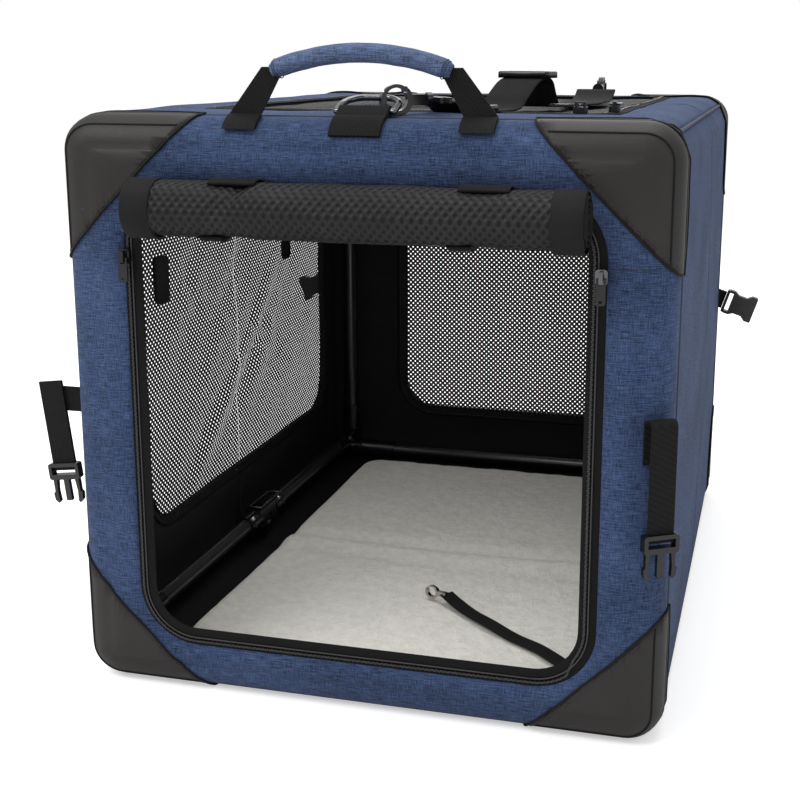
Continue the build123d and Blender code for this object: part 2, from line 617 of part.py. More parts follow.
def xz_plate(sketch, thickness):
    return extrude(Plane(origin=(0, thickness / 2, 0), x_dir=(1, 0, 0), z_dir=(0, -1, 0)) * sketch,
                   amount=thickness)


def snap_hook():
    """Eye at the origin, neck along +X: hook body, and its gate closing the eye from above."""
    outer = HOOK_EYE + HOOK_BAR
    mid_r = HOOK_EYE + HOOK_BAR / 2
    pivot = (mid_r * math.cos(math.radians(GATE_FROM)), mid_r * math.sin(math.radians(GATE_FROM)))
    nose = (HOOK_EYE * math.cos(math.radians(GATE_TO)), HOOK_EYE * math.sin(math.radians(GATE_TO)))
    reach = math.dist(pivot, nose)     # the gate's tip and the nose meet on this arc about the pivot
    shape = sector(GATE_TO - 12, 360 + GATE_FROM - 180, HOOK_EYE, outer) - Pos(*pivot) * Circle(reach)
    shape += sector(360 + GATE_FROM - 180, 360 + GATE_FROM, HOOK_EYE, outer)
    shape += Pos(outer + HOOK_NECK / 2 - 3, 0) * Rectangle(HOOK_NECK, HOOK_BAR * 2)
    shape -= Pos(*pivot) * Circle(HOOK_BAR * 0.62)
    body = xz_plate(shape, HOOK_T)
    body += rod((outer + HOOK_NECK - 4, 0, 0), (outer + HOOK_NECK, 0, 0), HOOK_BAR * 1.35)
    gate = sector(GATE_FROM + 12, GATE_TO + 8, HOOK_EYE + 0.7, outer - 0.7) & Pos(*pivot) * Circle(reach - GATE_GAP)
    gate += Pos(*pivot) * Circle(HOOK_BAR * 0.54)
    gate += sector(GATE_FROM, GATE_FROM + 14, mid_r - HOOK_BAR * 0.25, mid_r + HOOK_BAR * 0.3)
    return body, xz_plate(gate, HOOK_T * 0.7)


def hook_swivel(width):
    """Web loop on the neck's swivel post, at the end of the hook."""
    start = HOOK_EYE + HOOK_BAR + HOOK_NECK + LIE_GAP
    depth = HOOK_BAR * 2.4
    frame = block(start, start + depth, -width / 2, width / 2, -2, 2)
    frame = fillet(frame.edges().filter_by(Axis.Z), HOOK_BAR * 0.6)
    slot = block(start + HOOK_BAR * 0.8, start + depth - HOOK_BAR * 0.7, -width / 2 + 2.4, width / 2 - 2.4, -3, 3)
    return frame - slot


def strap_run(points, radius, width, thickness, place):
    """Webbing along (distance, height) points of a vertical plane."""
    path = FilletPolyline(*points, radius=radius)
    band = trace(Plane.XY * path, line_width=thickness)
    plane = Plane(origin=(0, width / 2, 0), x_dir=(1, 0, 0), z_dir=(0, -1, 0))
    return place * extrude(plane * band, amount=width)


def adjuster(along, height):
    """Tri-glide lying on the webbing."""
    plate = Pos(along, 0, height + WEB / 2 + LIE_GAP + 1.4) * Box(22, STRAP_W + 8, 2.8)
    plate = fillet(plate.edges().filter_by(Axis.Z), 3)
    for side in (-1, 1):
        plate -= Pos(along + side * 5, 0, height + 3) * Box(5, STRAP_W + 0.6, BIG)
    return plate


HOOK_L = HOOK_EYE + HOOK_BAR + HOOK_NECK + HOOK_BAR * 2.4
HOOK_TURN = 32.0
HOOK_Z = HEIGHT + HOOK_EYE + HOOK_BAR + LIE_GAP


def make_shoulder_strap():
    """The strap lies on the roof, hooked to the front ring; its rear hook is loose."""
    over_zip = HEIGHT + TAPE + LIE_GAP + WEB / 2
    low = HEIGHT + LIE_GAP + WEB / 2
    hook, gate = snap_hook()
    swivel = hook_swivel(STRAP_W + 5)
    at_front = Pos(STRAP_X, STRAP_Y, HOOK_Z) * Rot(0, 0, HOOK_TURN) * Pos(-HOOK_L, 0, 0)
    save("front_strap_hook", at_front * hook, at_front * swivel)
    save("front_hook_gate", at_front * gate)
    place = Pos(STRAP_X, STRAP_Y, 0) * Rot(0, 0, 90 + STRAP_TURN)
    half_l = -STRAP_Y / math.cos(math.radians(STRAP_TURN))
    crest = over_zip + STRAP_HUMP
    front = [(6, HOOK_Z - 2.9), (20, over_zip), (96, over_zip), (128, crest), (166, crest), (206, low + 0.2),
             (half_l + STRAP_W / 2, low)]
    adjusters = [place * adjuster(36, over_zip), place * adjuster(147, crest)]
    ahead = block(-BIG, BIG, -BIG, -SEAM_GAP / 2, 0, BIG)
    save("shoulder_strap_front", strap_run(front, 9, STRAP_W, WEB, place) & ahead, adjusters)
    behind = Pos(STRAP_X - half_l * math.sin(math.radians(STRAP_TURN)), 0, 0) * Rot(0, 0, 90)
    rear = [(SEAM_GAP / 2, low), (STRAP_REAR * 0.3, low + 0.1), (STRAP_REAR - 26, low), (STRAP_REAR - 8, HOOK_Z - 2.9)]
    at_rear = behind * Pos(STRAP_REAR + HOOK_L, 0, HOOK_Z) * Rot(0, 0, 180)
    save("rear_strap_hook", at_rear * hook)
    save("rear_hook_gate", at_rear * gate)
    save("shoulder_strap_rear", strap_run(rear, 9, STRAP_W, WEB, behind), at_rear * swivel)


def make_tether():
    """Short lead from the front corner of the floor, with a small swivel trigger hook."""
    hook, gate = snap_hook()
    lie = FABRIC + LIE_GAP + PAD_T
    hook_z = lie + LIE_GAP + (HOOK_EYE + HOOK_BAR) * TETHER_SCALE
    reach = (HOOK_EYE + HOOK_BAR + HOOK_NECK + HOOK_BAR * 2.4) * TETHER_SCALE
    heading = Pos(TETHER_X, TETHER_Y, 0) * Rot(0, 0, TETHER_TURN)
    at_hook = Pos(TETHER_X, TETHER_Y, hook_z) * Rot(0, 0, TETHER_HOOK_TURN) * Pos(-reach, 0, 0)
    small = [scale(s, by=TETHER_SCALE) for s in (hook, gate, hook_swivel(TETHER_W / TETHER_SCALE + 4.5))]
    save("tether_hook", at_hook * small[0])
    save("tether_trigger", at_hook * small[1])
    low = lie + LIE_GAP + TETHER_WEB / 2
    floor = FABRIC + LIE_GAP + TETHER_WEB / 2
    route = [(-2.5, hook_z - 2.2), (12, low), (178, low), (194, floor + 0.8), (212, floor + 0.4)]
    strap = strap_run(route, 4, TETHER_W, TETHER_WEB, heading)
    save("tether_strap", strap, at_hook * small[2])


# ---- side-release buckles on the side straps -------------------------------
def buckle_male():
    """Male half hanging down from the origin: web bar, guide and two sprung prongs."""
    root = -BUCKLE_L * 0.62
    body = block(-BUCKLE_W / 2, BUCKLE_W / 2, -BUCKLE_T / 2, BUCKLE_T / 2, root, 0)
    body = fillet(body.edges().filter_by(Axis.Y), 2.4)
    body -= block(-SIDE_WEB_W / 2 - 0.6, SIDE_WEB_W / 2 + 0.6, -BIG, BIG, root + 4.2, -3.2)
    body += block(-2.4, 2.4, -1.8, 1.8, root - PRONG_L * 0.9, root)
    width = BUCKLE_W / 2
    plane = Plane(origin=(0, 0, 0), x_dir=(1, 0, 0), z_dir=(0, -1, 0))
    for sign in (-1, 1):
        points = [(width - 5.6, root + 1), (width - 2.0, root + 1), (width - 2.0, root - PRONG_L * 0.5),
                  (width - 0.4, root - PRONG_L * 0.58), (width - 1.0, root - PRONG_L * 0.86),
                  (width - 3.6, root - PRONG_L), (width - 5.0, root - PRONG_L * 0.92),
                  (width - 4.4, root - PRONG_L * 0.5)]
        outline = Polygon(*[(sign * x, z) for x, z in points], align=None)
        body += extrude(plane * outline, amount=2.0, both=True)
    return body


def buckle_female():
    """Female half hanging down from the origin: web bars, then a hollow waisted shell, open at its mouth."""
    length = BUCKLE_L + 13
    half = BUCKLE_W / 2
    thick = BUCKLE_T / 2 + 1
    waist = half - 3.0
    plane = Plane(origin=(0, 0, 0), x_dir=(1, 0, 0), z_dir=(0, -1, 0))
    side = [(half - 1, 0), (half, -3), (half, -9), (waist, -14), (waist, -length + 12), (half + 1, -length + 7),
            (half + 1, -length + 1), (half, -length)]
    outline = Polygon(*side, *[(-x, z) for x, z in reversed(side)], align=None)
    body = extrude(plane * outline, amount=thick, both=True)
    body -= block(-SIDE_WEB_W / 2 - 0.6, SIDE_WEB_W / 2 + 0.6, -BIG, BIG, -7.6, -3.2)
    return body - block(-waist + 2, waist - 2, -thick + 1.6, thick - 1.6, -BIG, -12)


def make_side_straps():
    """Front straps carry the male halves, rear straps the female halves."""
    half = SIDE_WEB_W / 2
    edge_x, edge_y = WIDTH / 2 - EDGE_R, DEPTH / 2 - EDGE_R
    lean = math.radians(32)
    root = Vector(edge_x + EDGE_R * math.sin(lean), -edge_y - EDGE_R * math.cos(lean), STRAP_ROOT_Z)
    turned = Pos(root) * Rot(0, 0, math.degrees(lean))
    fall = [(-WEB, -30), (-WEB, 2), (-13, 4), (-13, -84)]
    right = turned * ribbon(fall, 4, SIDE_WEB_W, WEB)
    male = buckle_male()
    right_buckle = turned * Pos(0, -13, -84 + 6.4) * male
    wall = -WIDTH / 2 - LIE_GAP
    y = -edge_y - 2
    left = block(wall - 34, wall, y - WEB / 2, y + WEB / 2, STRAP_ROOT_Z - 30, STRAP_ROOT_Z - 10)
    tilt = Pos(wall - 33, y - 2 * WEB, STRAP_ROOT_Z - 6) * Rot(0, -7, 0)
    left += tilt * block(-half, half, -WEB / 2, WEB * 1.2, -74, 0)
    left_buckle = tilt * Pos(0, 0, -74 + 6.4) * male
    save("front_side_straps", left - left_buckle, right - right_buckle)
    save("front_buckles", left_buckle, right_buckle)
    straps, buckles = [], []
    female = buckle_female()
    for sign in (-1, 1):
        wall = sign * (WIDTH / 2 + LIE_GAP)
        place = Pos(wall, edge_y - 2, STRAP_ROOT_Z - 18) * Rot(0, sign * 18, 0) * Rot(0, -sign * 90, 0)
        strap = place * block(-half, half, -WEB / 2, WEB / 2, -7, 6)
        shell_side = block(-WIDTH / 2 - LIE_GAP, WIDTH / 2 + LIE_GAP, -BIG, BIG, -BIG, BIG)
        straps.append(strap - shell_side)
        buckles.append(place * Pos(0, 0, -7 - LIE_GAP) * female)
    save("rear_side_straps", straps)
    save("rear_buckles", buckles)


make_shell()
make_screens()
make_patches()
make_frames()
make_arms()
make_lock_clips()
make_pad()
make_door_zip()
make_sliders()
make_roll()
make_rings(make_handle())
make_shoulder_strap()
make_tether()
make_side_straps()
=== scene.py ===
"""Looks for a folding pet carrier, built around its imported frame."""

import math

import bmesh
import bpy
from bpy.props import FloatProperty, FloatVectorProperty, PointerProperty
from mathutils import Matrix, Vector, noise
from mathutils.bvhtree import BVHTree


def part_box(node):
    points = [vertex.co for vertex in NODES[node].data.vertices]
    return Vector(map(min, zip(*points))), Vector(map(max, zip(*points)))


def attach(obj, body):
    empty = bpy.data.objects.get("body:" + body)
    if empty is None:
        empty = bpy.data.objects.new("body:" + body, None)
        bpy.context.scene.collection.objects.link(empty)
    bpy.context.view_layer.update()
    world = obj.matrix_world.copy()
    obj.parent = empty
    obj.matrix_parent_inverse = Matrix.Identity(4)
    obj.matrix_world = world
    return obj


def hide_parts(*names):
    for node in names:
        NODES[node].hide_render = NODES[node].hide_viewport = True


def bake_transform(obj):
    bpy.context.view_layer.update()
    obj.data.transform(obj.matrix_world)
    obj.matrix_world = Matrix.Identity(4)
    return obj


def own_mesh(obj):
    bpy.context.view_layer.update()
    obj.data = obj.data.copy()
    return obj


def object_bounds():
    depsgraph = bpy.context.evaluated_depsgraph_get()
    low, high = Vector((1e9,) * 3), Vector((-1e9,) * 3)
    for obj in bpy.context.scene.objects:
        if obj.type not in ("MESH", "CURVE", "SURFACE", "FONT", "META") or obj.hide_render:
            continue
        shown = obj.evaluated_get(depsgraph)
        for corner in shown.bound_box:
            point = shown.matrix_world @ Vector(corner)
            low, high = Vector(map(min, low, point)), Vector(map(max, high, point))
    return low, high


bl_info = {
    "name": "Pet carrier",
    "version": (1, 0, 0),
    "blender": (4, 5, 0),
    "location": "View3D > Sidebar > Carrier",
    "description": "Dresses the packed frame of a folding pet carrier",
    "category": "Object",
}

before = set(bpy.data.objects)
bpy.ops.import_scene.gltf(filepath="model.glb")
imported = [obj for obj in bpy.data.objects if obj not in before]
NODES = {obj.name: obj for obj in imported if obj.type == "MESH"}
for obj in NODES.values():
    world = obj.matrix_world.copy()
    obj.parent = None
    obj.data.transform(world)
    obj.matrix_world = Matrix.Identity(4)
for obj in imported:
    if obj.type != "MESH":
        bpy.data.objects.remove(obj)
CAD_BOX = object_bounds()
FRONT, REAR = "front_frame", "rear_frame"
MM = 0.001

FRONT_LOW, FRONT_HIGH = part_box("front_panel")
REAR_LOW, REAR_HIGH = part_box("rear_panel")
HALF_W = FRONT_HIGH.x
HALF_D = REAR_HIGH.y
TALL = FRONT_HIGH.z
MID_Z = TALL / 2
CAP_Y = -FRONT_HIGH.y          # the end panels wrap round to here
FOLD_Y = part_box("floor_front")[1].y
EDGE = 24 * MM                 # rounding of the shell's long edges
CORNER = 27 * MM               # and of its corners, seen from the front


# ---- shader expressions ----------------------------------------------------
def operator(operation):
    def run(self, *others):
        return self.math(operation, *others)
    return run


class Value:
    """A number that varies over a surface. Sums, products and comparisons add their Math nodes."""

    def __init__(self, finish, socket):
        self.finish, self.socket = finish, socket

    def math(self, operation, *others, flip=False):
        items = [self, *others]
        if flip:
            items.reverse()
        return self.finish.add("ShaderNodeMath", {"operation": operation}, dict(enumerate(items))).value()

    def __rsub__(self, other):
        return self.math("SUBTRACT", other, flip=True)

    __add__ = __radd__ = operator("ADD")
    __mul__ = __rmul__ = operator("MULTIPLY")
    __sub__, __truediv__, __pow__ = operator("SUBTRACT"), operator("DIVIDE"), operator("POWER")
    __gt__, __abs__ = operator("GREATER_THAN"), operator("ABSOLUTE")
    sine, fraction, most = operator("SINE"), operator("FRACT"), operator("MAXIMUM")

    def step(self, low, high):
        """0 below low, 1 above high, smooth between them."""
        settings = {"interpolation_type": "SMOOTHSTEP"}
        return self.finish.add("ShaderNodeMapRange", settings, {0: self, 1: low, 2: high}).value()


class Added:
    """A node just added, and its outputs."""

    def __init__(self, finish, node):
        self.finish, self.node = finish, node

    def value(self, output=0):
        return Value(self.finish, self.node.outputs[output])

    def link(self, output=0):
        return self.node.outputs[output]


class Finish:
    """The nodes of one material, or of the world. add() is the only call that adds a node."""

    def __init__(self, name, family="materials", output="ShaderNodeOutputMaterial"):
        self.made = getattr(bpy.data, family).new(name)
        self.made.use_nodes = True
        self.tree = self.made.node_tree
        self.tree.nodes.clear()
        self.output = self.add(output)

    def add(self, kind, settings=None, inputs=None):
        node = self.tree.nodes.new(kind)
        for key, setting in (settings or {}).items():
            if key == "stops":
                ramp = node.color_ramp
                while len(ramp.elements) < len(setting):
                    ramp.elements.new(0.5)
                for element, (place, colour) in zip(ramp.elements, setting):
                    element.position = place
                    element.color = (*colour, 1)
            else:
                setattr(node, key, setting)
        for key, item in (inputs or {}).items():
            if item is None:
                continue
            if isinstance(item, Value):
                item = item.socket
            if isinstance(item, bpy.types.NodeSocket):
                self.tree.links.new(item, node.inputs[key])
            else:
                node.inputs[key].default_value = item
        return Added(self, node)

    def place(self):
        """Place on the part at rest, as three numbers in metres."""
        at = self.add("ShaderNodeTexCoord").link("Object")
        xyz = self.add("ShaderNodeSeparateXYZ", None, {0: at})
        return xyz.value(0), xyz.value(1), xyz.value(2)

    def facing(self):
        normal = self.add("ShaderNodeNewGeometry").link("True Normal")
        local = self.add("ShaderNodeVectorTransform", {"vector_type": "NORMAL", "convert_from": "WORLD",
                                                       "convert_to": "OBJECT"}, {0: normal})
        xyz = self.add("ShaderNodeSeparateXYZ", None, {0: local.link()})
        return abs(xyz.value(0)), abs(xyz.value(1)), abs(xyz.value(2))

    def cloth(self):
        """Along and across the cloth, in metres: level and upright on a wall, along X and Y on a roof."""
        x, y, z = self.place()
        nx, ny, nz = self.facing()
        front = ny > nx
        level = nz > 0.64
        along = x * front.most(level) + y * (1 - front.most(level))
        across = y * level + z * (1 - level)
        return along, across

    def join(self, x, y, z=0.0):
        return self.add("ShaderNodeCombineXYZ", None, {0: x, 1: y, 2: z}).link()

    def noise(self, vector, scale=1.0, detail=2.0, rough=0.5):
        inputs = {"Vector": vector, "Scale": scale, "Detail": detail, "Roughness": rough}
        return self.add("ShaderNodeTexNoise", None, inputs).value("Fac")

    def colours(self, value, *stops):
        return self.add("ShaderNodeValToRGB", {"stops": stops}, {0: value}).link()

    def mix(self, share, first, second, blend="MIX"):
        settings = {"data_type": "RGBA", "blend_type": blend}
        return self.add("ShaderNodeMix", settings, {0: share, 6: as_colour(first), 7: as_colour(second)}).link(2)

    def bump(self, height, distance, strength=1.0, normal=None):
        inputs = {"Height": height, "Distance": distance, "Strength": strength, "Normal": normal}
        return self.add("ShaderNodeBump", None, inputs).link()

    def surface(self, colour, rough, metal=0.0, normal=None, holes=None, **fixed):
        inputs = {"Base Color": as_colour(colour), "Roughness": rough, "Metallic": metal, "Normal": normal}
        inputs.update({key.replace("_", " "): number for key, number in fixed.items()})
        shader = self.add("ShaderNodeBsdfPrincipled", None, inputs).link()
        if holes is not None:
            clear = self.add("ShaderNodeBsdfTransparent").link()
            shader = self.add("ShaderNodeMixShader", None, {0: holes, 1: shader, 2: clear}).link()
        return self.finished(shader)

    def finished(self, shader):
        self.tree.links.new(shader, self.output.node.inputs[0])
        return self.made


def as_colour(colour):
    if isinstance(colour, (bpy.types.NodeSocket, Value)):
        return colour
    return (*tuple(colour)[:3], 1)


def shade(colour, by):
    return tuple(min(1, c * by) for c in tuple(colour)[:3])


# ---- finishes --------------------------------------------------------------
def melange(name, colour):
    """Two-tone woven polyester: dark and pale slubs along both threads."""
    f = Finish(name)
    u, v = f.cloth()
    weft = f.noise(f.join(u * 95, v * 1150), detail=3)
    warp = f.noise(f.join(u * 1150, v * 130, 7), detail=3)
    fleck = f.noise(f.join(u * 1700, v * 1700, 3), detail=1)
    cloud = f.noise(f.join(u * 9, v * 14, 5), detail=2)
    tone = weft * 0.42 + warp * 0.30 + fleck * 0.40 + (cloud - 0.5) * 0.16
    dye = f.colours(tone, (0.40, shade(colour, 0.14)), (0.50, shade(colour, 0.66)), (0.60, shade(colour, 1.25)),
                    (0.72, tuple(c * 1.9 + 0.02 for c in tuple(colour)[:3])))
    pitch = 2 * math.pi / 0.0013
    weave = (u * pitch).sine() * (v * pitch).sine()
    height = weave * 0.25 + fleck * 0.6 + weft * 0.5
    soft = f.noise(f.join(u * 26, v * 26, 2), detail=3)
    normal = f.bump(soft, 0.004, 0.35)
    return f.surface(dye, 0.86, normal=f.bump(height, 0.0005, 0.8, normal), Specular_IOR_Level=0.12,
                     Sheen_Weight=0.05, Sheen_Roughness=0.5)


def lining(name, colour):
    """Smooth black lining with a faint plain weave."""
    f = Finish(name)
    u, v = f.cloth()
    pitch = 2 * math.pi / 0.0016
    weave = (u * pitch).sine() * (v * pitch).sine()
    crease = f.noise(f.join(u * 20, v * 28), detail=4)
    # Painted shade: the crease noise that bumps the cloth also paints its hollows darker and its crests paler.
    tone = f.mix(crease, shade(colour, 0.7), shade(colour, 1.5))
    return f.surface(tone, 0.7, normal=f.bump(weave * 0.2 + crease, 0.0018, 0.6), Specular_IOR_Level=0.16)


def leatherette(name, colour):
    """Coated cloth: fine pebble grain, painted a little paler where its bumps stand out, as a painted highlight."""
    f = Finish(name)
    x, y, z = f.place()
    at = f.join(x, y, z)
    cells = f.add("ShaderNodeTexVoronoi", {"feature": "SMOOTH_F1"}, {"Vector": at, "Scale": 950.0}).value(0)
    soft = f.noise(at, 16, 3)
    fine = f.noise(at, 620, 3)
    # Painted highlight: the colour turns paler where the broad swell and the fine grain stand out in the bump.
    tone = f.mix(soft.step(0.35, 0.7), shade(colour, 0.86), shade(colour, 1.12))
    tone = f.mix(fine * 0.35, tone, shade(colour, 1.5))
    normal = f.bump(cells + fine * 0.6, 0.00022, 0.55, f.bump(soft, 0.0035, 0.3))
    return f.surface(tone, 0.46 + fine * 0.14, normal=normal, Specular_IOR_Level=0.30)


def webbing(name, colour, pitch=0.0019):
    """Ribbed strap: rows of raised stitches across a twill."""
    f = Finish(name)
    x, y, z = f.place()
    turn = 2 * math.pi / pitch
    rows = ((x + y + z) * turn).sine() * 0.5 + 0.5
    cross = ((x - y + z * 0.6) * (turn * 0.71)).sine() * 0.5 + 0.5
    fuzz = f.noise(f.join(x, y, z), 900, 2)
    height = rows * cross * 0.8 + fuzz * 0.4
    # Painted light: the colour follows the bump's height, paler on the raised rows and darker in the grooves between
    # them.
    tone = f.mix(height.step(0.1, 0.9), shade(colour, 0.55), shade(colour, 1.9))
    return f.surface(tone, 0.7 + fuzz * 0.15, normal=f.bump(height, 0.0006, 0.9), Specular_IOR_Level=0.2)


def window_mesh(name, colour, pitch=0.0058, hole=0.206):
    """Knitted mesh, open in a lattice of round holes."""
    f = Finish(name)
    u, v = f.cloth()
    p = ((u + v) / pitch).fraction() - 0.5
    q = ((u - v) / pitch).fraction() - 0.5
    span = (p * p + q * q) ** 0.5
    fuzz = f.noise(f.join(u * 700, v * 700), detail=2)
    open_share = 1 - (span + (fuzz - 0.5) * 0.06).step(hole - 0.035, hole + 0.035)
    tone = f.mix(fuzz, shade(colour, 0.5), shade(colour, 1.8))
    return f.surface(tone, 0.62, normal=f.bump(span, 0.0006, 0.7), holes=open_share, Specular_IOR_Level=0.2)


def spacer_mesh(name, colour):
    """Thick knitted mesh of the door: slanting rows of oval pits, painted almost black as painted shade, between paler
    ribs.
    """
    f = Finish(name)
    x, y, z = f.place()
    along = x
    round_it = f.add("ShaderNodeMath", {"operation": "ARCTAN2"}, {0: z - ROLL_Z, 1: y - ROLL_Y}).value() * ROLL_R
    p = (along / 0.0066 + round_it / 0.0082).fraction() - 0.5
    q = (along / 0.0066 - round_it / 0.0082).fraction() - 0.5
    span = (p * p + q * q) ** 0.5
    # Painted shade: the pits are painted almost black, for the shade inside the mesh's openings.
    pit_shade_mask = 1 - span.step(0.27, 0.36)
    fuzz = f.noise(f.join(x, y, z), 800, 3)
    patchy = f.noise(f.join(x, y, z), 26, 2)
    rib = f.mix(fuzz * 0.6 + patchy.step(0.35, 0.7) * 0.5, shade(colour, 0.6), shade(colour, 2.35))
    tone = f.mix(pit_shade_mask, rib, shade(colour, 0.05))
    return f.surface(tone, 0.55, normal=f.bump(span + fuzz * 0.12, 0.0022, 0.9), Specular_IOR_Level=0.25)


def fleece(name, colour):
    """Short cream pile: soft clumps over a fine nap."""
    f = Finish(name)
    x, y, z = f.place()
    at = f.join(x, y, z)
    clump = f.noise(at, 120, 4, 0.6)
    nap = f.noise(at, 700, 3, 0.7)
    swell = f.noise(at, 9, 2)
    tone = f.mix(clump.step(0.3, 0.72), shade(colour, 0.86), shade(colour, 1.04))
    tone = f.mix(nap * 0.5, tone, shade(colour, 0.78))
    normal = f.bump(nap + clump * 1.6, 0.0022, 0.75, f.bump(swell, 0.012, 0.35))
    return f.surface(tone, 0.95, normal=normal, Sheen_Weight=0.35, Sheen_Roughness=0.6)


def moulded(name, colour, rough=0.42, grain=420.0, depth=0.0003):
    """Moulded plastic with a fine spark texture."""
    f = Finish(name)
    x, y, z = f.place()
    at = f.join(x, y, z)
    fine = f.noise(at, grain, 3)
    broad = f.noise(at, 40, 2)
    tone = f.mix(broad, shade(colour, 0.8), shade(colour, 1.4))
    return f.surface(tone, rough + (fine - 0.5) * 0.2, normal=f.bump(fine, depth, 0.4))


def metal(name, colour, rough, brushed=0.0):
    """Plated or coated metal, with fine scratches."""
    f = Finish(name)
    x, y, z = f.place()
    scratch = f.noise(f.join(x * 300, y * 300, z * 2400), detail=3)
    spots = f.noise(f.join(x, y, z), 180, 2)
    tone = f.mix(spots.step(0.4, 0.8) * 0.5, colour, shade(colour, 0.72))
    normal = f.bump(scratch, 0.00015, 0.25 + brushed)
    return f.surface(tone, rough + (scratch - 0.5) * 0.16, 1.0, normal=normal)


def enamel(name, colour):
    """Satin powder coat on steel tube."""
    f = Finish(name)
    x, y, z = f.place()
    peel = f.noise(f.join(x, y, z), 260, 2)
    dust = f.noise(f.join(x, y, z), 45, 3)
    tone = f.mix(dust.step(0.45, 0.8) * 0.4, colour, shade(colour, 2.2))
    return f.surface(tone, 0.26 + dust * 0.16, normal=f.bump(peel, 0.0004, 0.3), Coat_Weight=0.4, Coat_Roughness=0.2)


# ---- meshes ----------------------------------------------------------------
def limited(share):
    return max(0.0, min(1.0, share))


def angles(count):
    """A full turn in equal steps, its start given again at its end."""
    return [2 * math.pi * k / count for k in range(count + 1)]


def runs_of(points, keep):
    """Unbroken runs of the points that are kept."""
    runs = [[]]
    for p in points:
        if keep(p):
            runs[-1].append(p)
        elif runs[-1]:
            runs.append([])
    return [run for run in runs if len(run) > 2]


def piece(name, verts, faces, body, slot, *materials, smooth=True):
    """A mesh piece in the row frame that rides on a CAD body."""
    mesh = bpy.data.meshes.new(name)
    mesh.from_pydata([tuple(v) for v in verts], [], faces)
    mesh.update()
    obj = bpy.data.objects.new(name, mesh)
    bpy.context.scene.collection.objects.link(obj)
    for material in materials:
        mesh.materials.append(material)
    tidy = bmesh.new()
    tidy.from_mesh(mesh)
    bmesh.ops.remove_doubles(tidy, verts=tidy.verts, dist=1e-6)
    bmesh.ops.recalc_face_normals(tidy, faces=tidy.faces)
    tidy.to_mesh(mesh)
    tidy.free()
    mesh.polygons.foreach_set("use_smooth", [smooth] * len(mesh.polygons))
    if body:
        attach(obj, body)
    return obj


def apply(obj, kind, **settings):
    modifier = obj.modifiers.new(kind, kind)
    for key, value in settings.items():
        setattr(modifier, key, value)
    depsgraph = bpy.context.evaluated_depsgraph_get()
    mesh = bpy.data.meshes.new_from_object(obj.evaluated_get(depsgraph))
    obj.modifiers.clear()
    old = obj.data
    obj.data = mesh
    bpy.data.meshes.remove(old)
    return obj


def loft(rings, closed=True):
    """Vertices and quads through rings of equal length."""
    count = len(rings[0])
    verts = [p for ring in rings for p in ring]
    faces = []
    for r in range(len(rings) - 1):
        for i in range(count if closed else count - 1):
            j = (i + 1) % count
            faces.append((r * count + i, r * count + j, (r + 1) * count + j, (r + 1) * count + i))
    return verts, faces


def ringed(rings):
    """A surface through closed rings, whose seam has its own points."""
    return loft([ring + ring[:1] for ring in rings], closed=False)


def merged(parts):
    verts, faces = [], []
    for more, quads in parts:
        start = len(verts)
        verts += more
        faces += [tuple(start + i for i in quad) for quad in quads]
    return verts, faces


def rounded(centre, half, radius, arc=10, side=26):
    """A rounded rectangle in a plane, anticlockwise, always with the same number of points."""
    (cx, cy), (hx, hy) = centre, half
    points = []
    for k, (sx, sy) in enumerate(((1, -1), (1, 1), (-1, 1), (-1, -1))):
        ox, oy = cx + sx * (hx - radius), cy + sy * (hy - radius)
        start = math.pi / 2 * (k - 1)
        corner = [(ox + radius * math.cos(start + math.pi / 2 * i / arc),
                   oy + radius * math.sin(start + math.pi / 2 * i / arc)) for i in range(arc + 1)]
        if points:
            points += between(points[-1], corner[0], side)
        points += corner
    return points + between(points[-1], points[0], side)


def between(a, b, count):
    return [tuple(p + (q - p) * i / (count + 1) for p, q in zip(a, b)) for i in range(1, count + 1)]


def smooth_path(points, step=0.004, closed=False):
    """A Catmull-Rom curve through the points, evenly stepped."""
    points = [Vector(p) for p in points]
    out = []
    n = len(points)
    for i in range(n if closed else n - 1):
        p0 = points[(i - 1) % n] if closed or i else points[0] * 2 - points[1]
        p1, p2 = points[i], points[(i + 1) % n]
        p3 = points[(i + 2) % n] if closed or i + 2 < n else points[-1] * 2 - points[-2]
        count = max(1, round((p2 - p1).length / step))
        for k in range(count):
            t = k / count
            out.append(0.5 * (2 * p1 + (p2 - p0) * t + (2 * p0 - 5 * p1 + 4 * p2 - p3) * t * t
                              + (3 * p1 - p0 - 3 * p2 + p3) * t ** 3))
    if not closed:
        out.append(points[-1])
    return out


def tangents(path, closed=False):
    n = len(path)
    result = []
    for i in range(n):
        a = path[(i - 1) % n] if closed or i else path[0]
        b = path[(i + 1) % n] if closed or i < n - 1 else path[-1]
        result.append((b - a).normalized())
    return result


def swept(path, section, up, closed=False, caps=True):
    """A flat section, as (sideways, up) pairs, carried along a path. up is a vector or one for each point."""
    path = [Vector(p) for p in path]
    rings = []
    for i, (point, tangent) in enumerate(zip(path, tangents(path, closed))):
        rise = Vector(up[i]) if isinstance(up, list) else Vector(up)
        side = tangent.cross(rise).normalized()
        rise = side.cross(tangent).normalized()
        rings.append([point + side * a + rise * b for a, b in section])
    if closed:
        rings.append(rings[0])
    verts, faces = loft(rings)
    if caps and not closed:
        n = len(section)
        faces += [tuple(range(n)), tuple(range(len(verts) - n, len(verts)))]
    return verts, faces


def circle(radius, count=10, flat=1.0):
    return [(radius * math.cos(2 * math.pi * i / count), radius * flat * math.sin(2 * math.pi * i / count))
            for i in range(count)]


def strap_section(width, thick, crown=0.0):
    """Section of a strap: flat, with rounded selvedges."""
    half, t = width / 2, thick / 2
    across = [-0.5, -0.25, 0.0, 0.25, 0.5]
    top = [(2 * a * (half - t), t + crown * (1 - 4 * a * a)) for a in across]
    low = [(-a, -b) for a, b in top]
    return [(-half, 0), *top, (half, 0), *low]


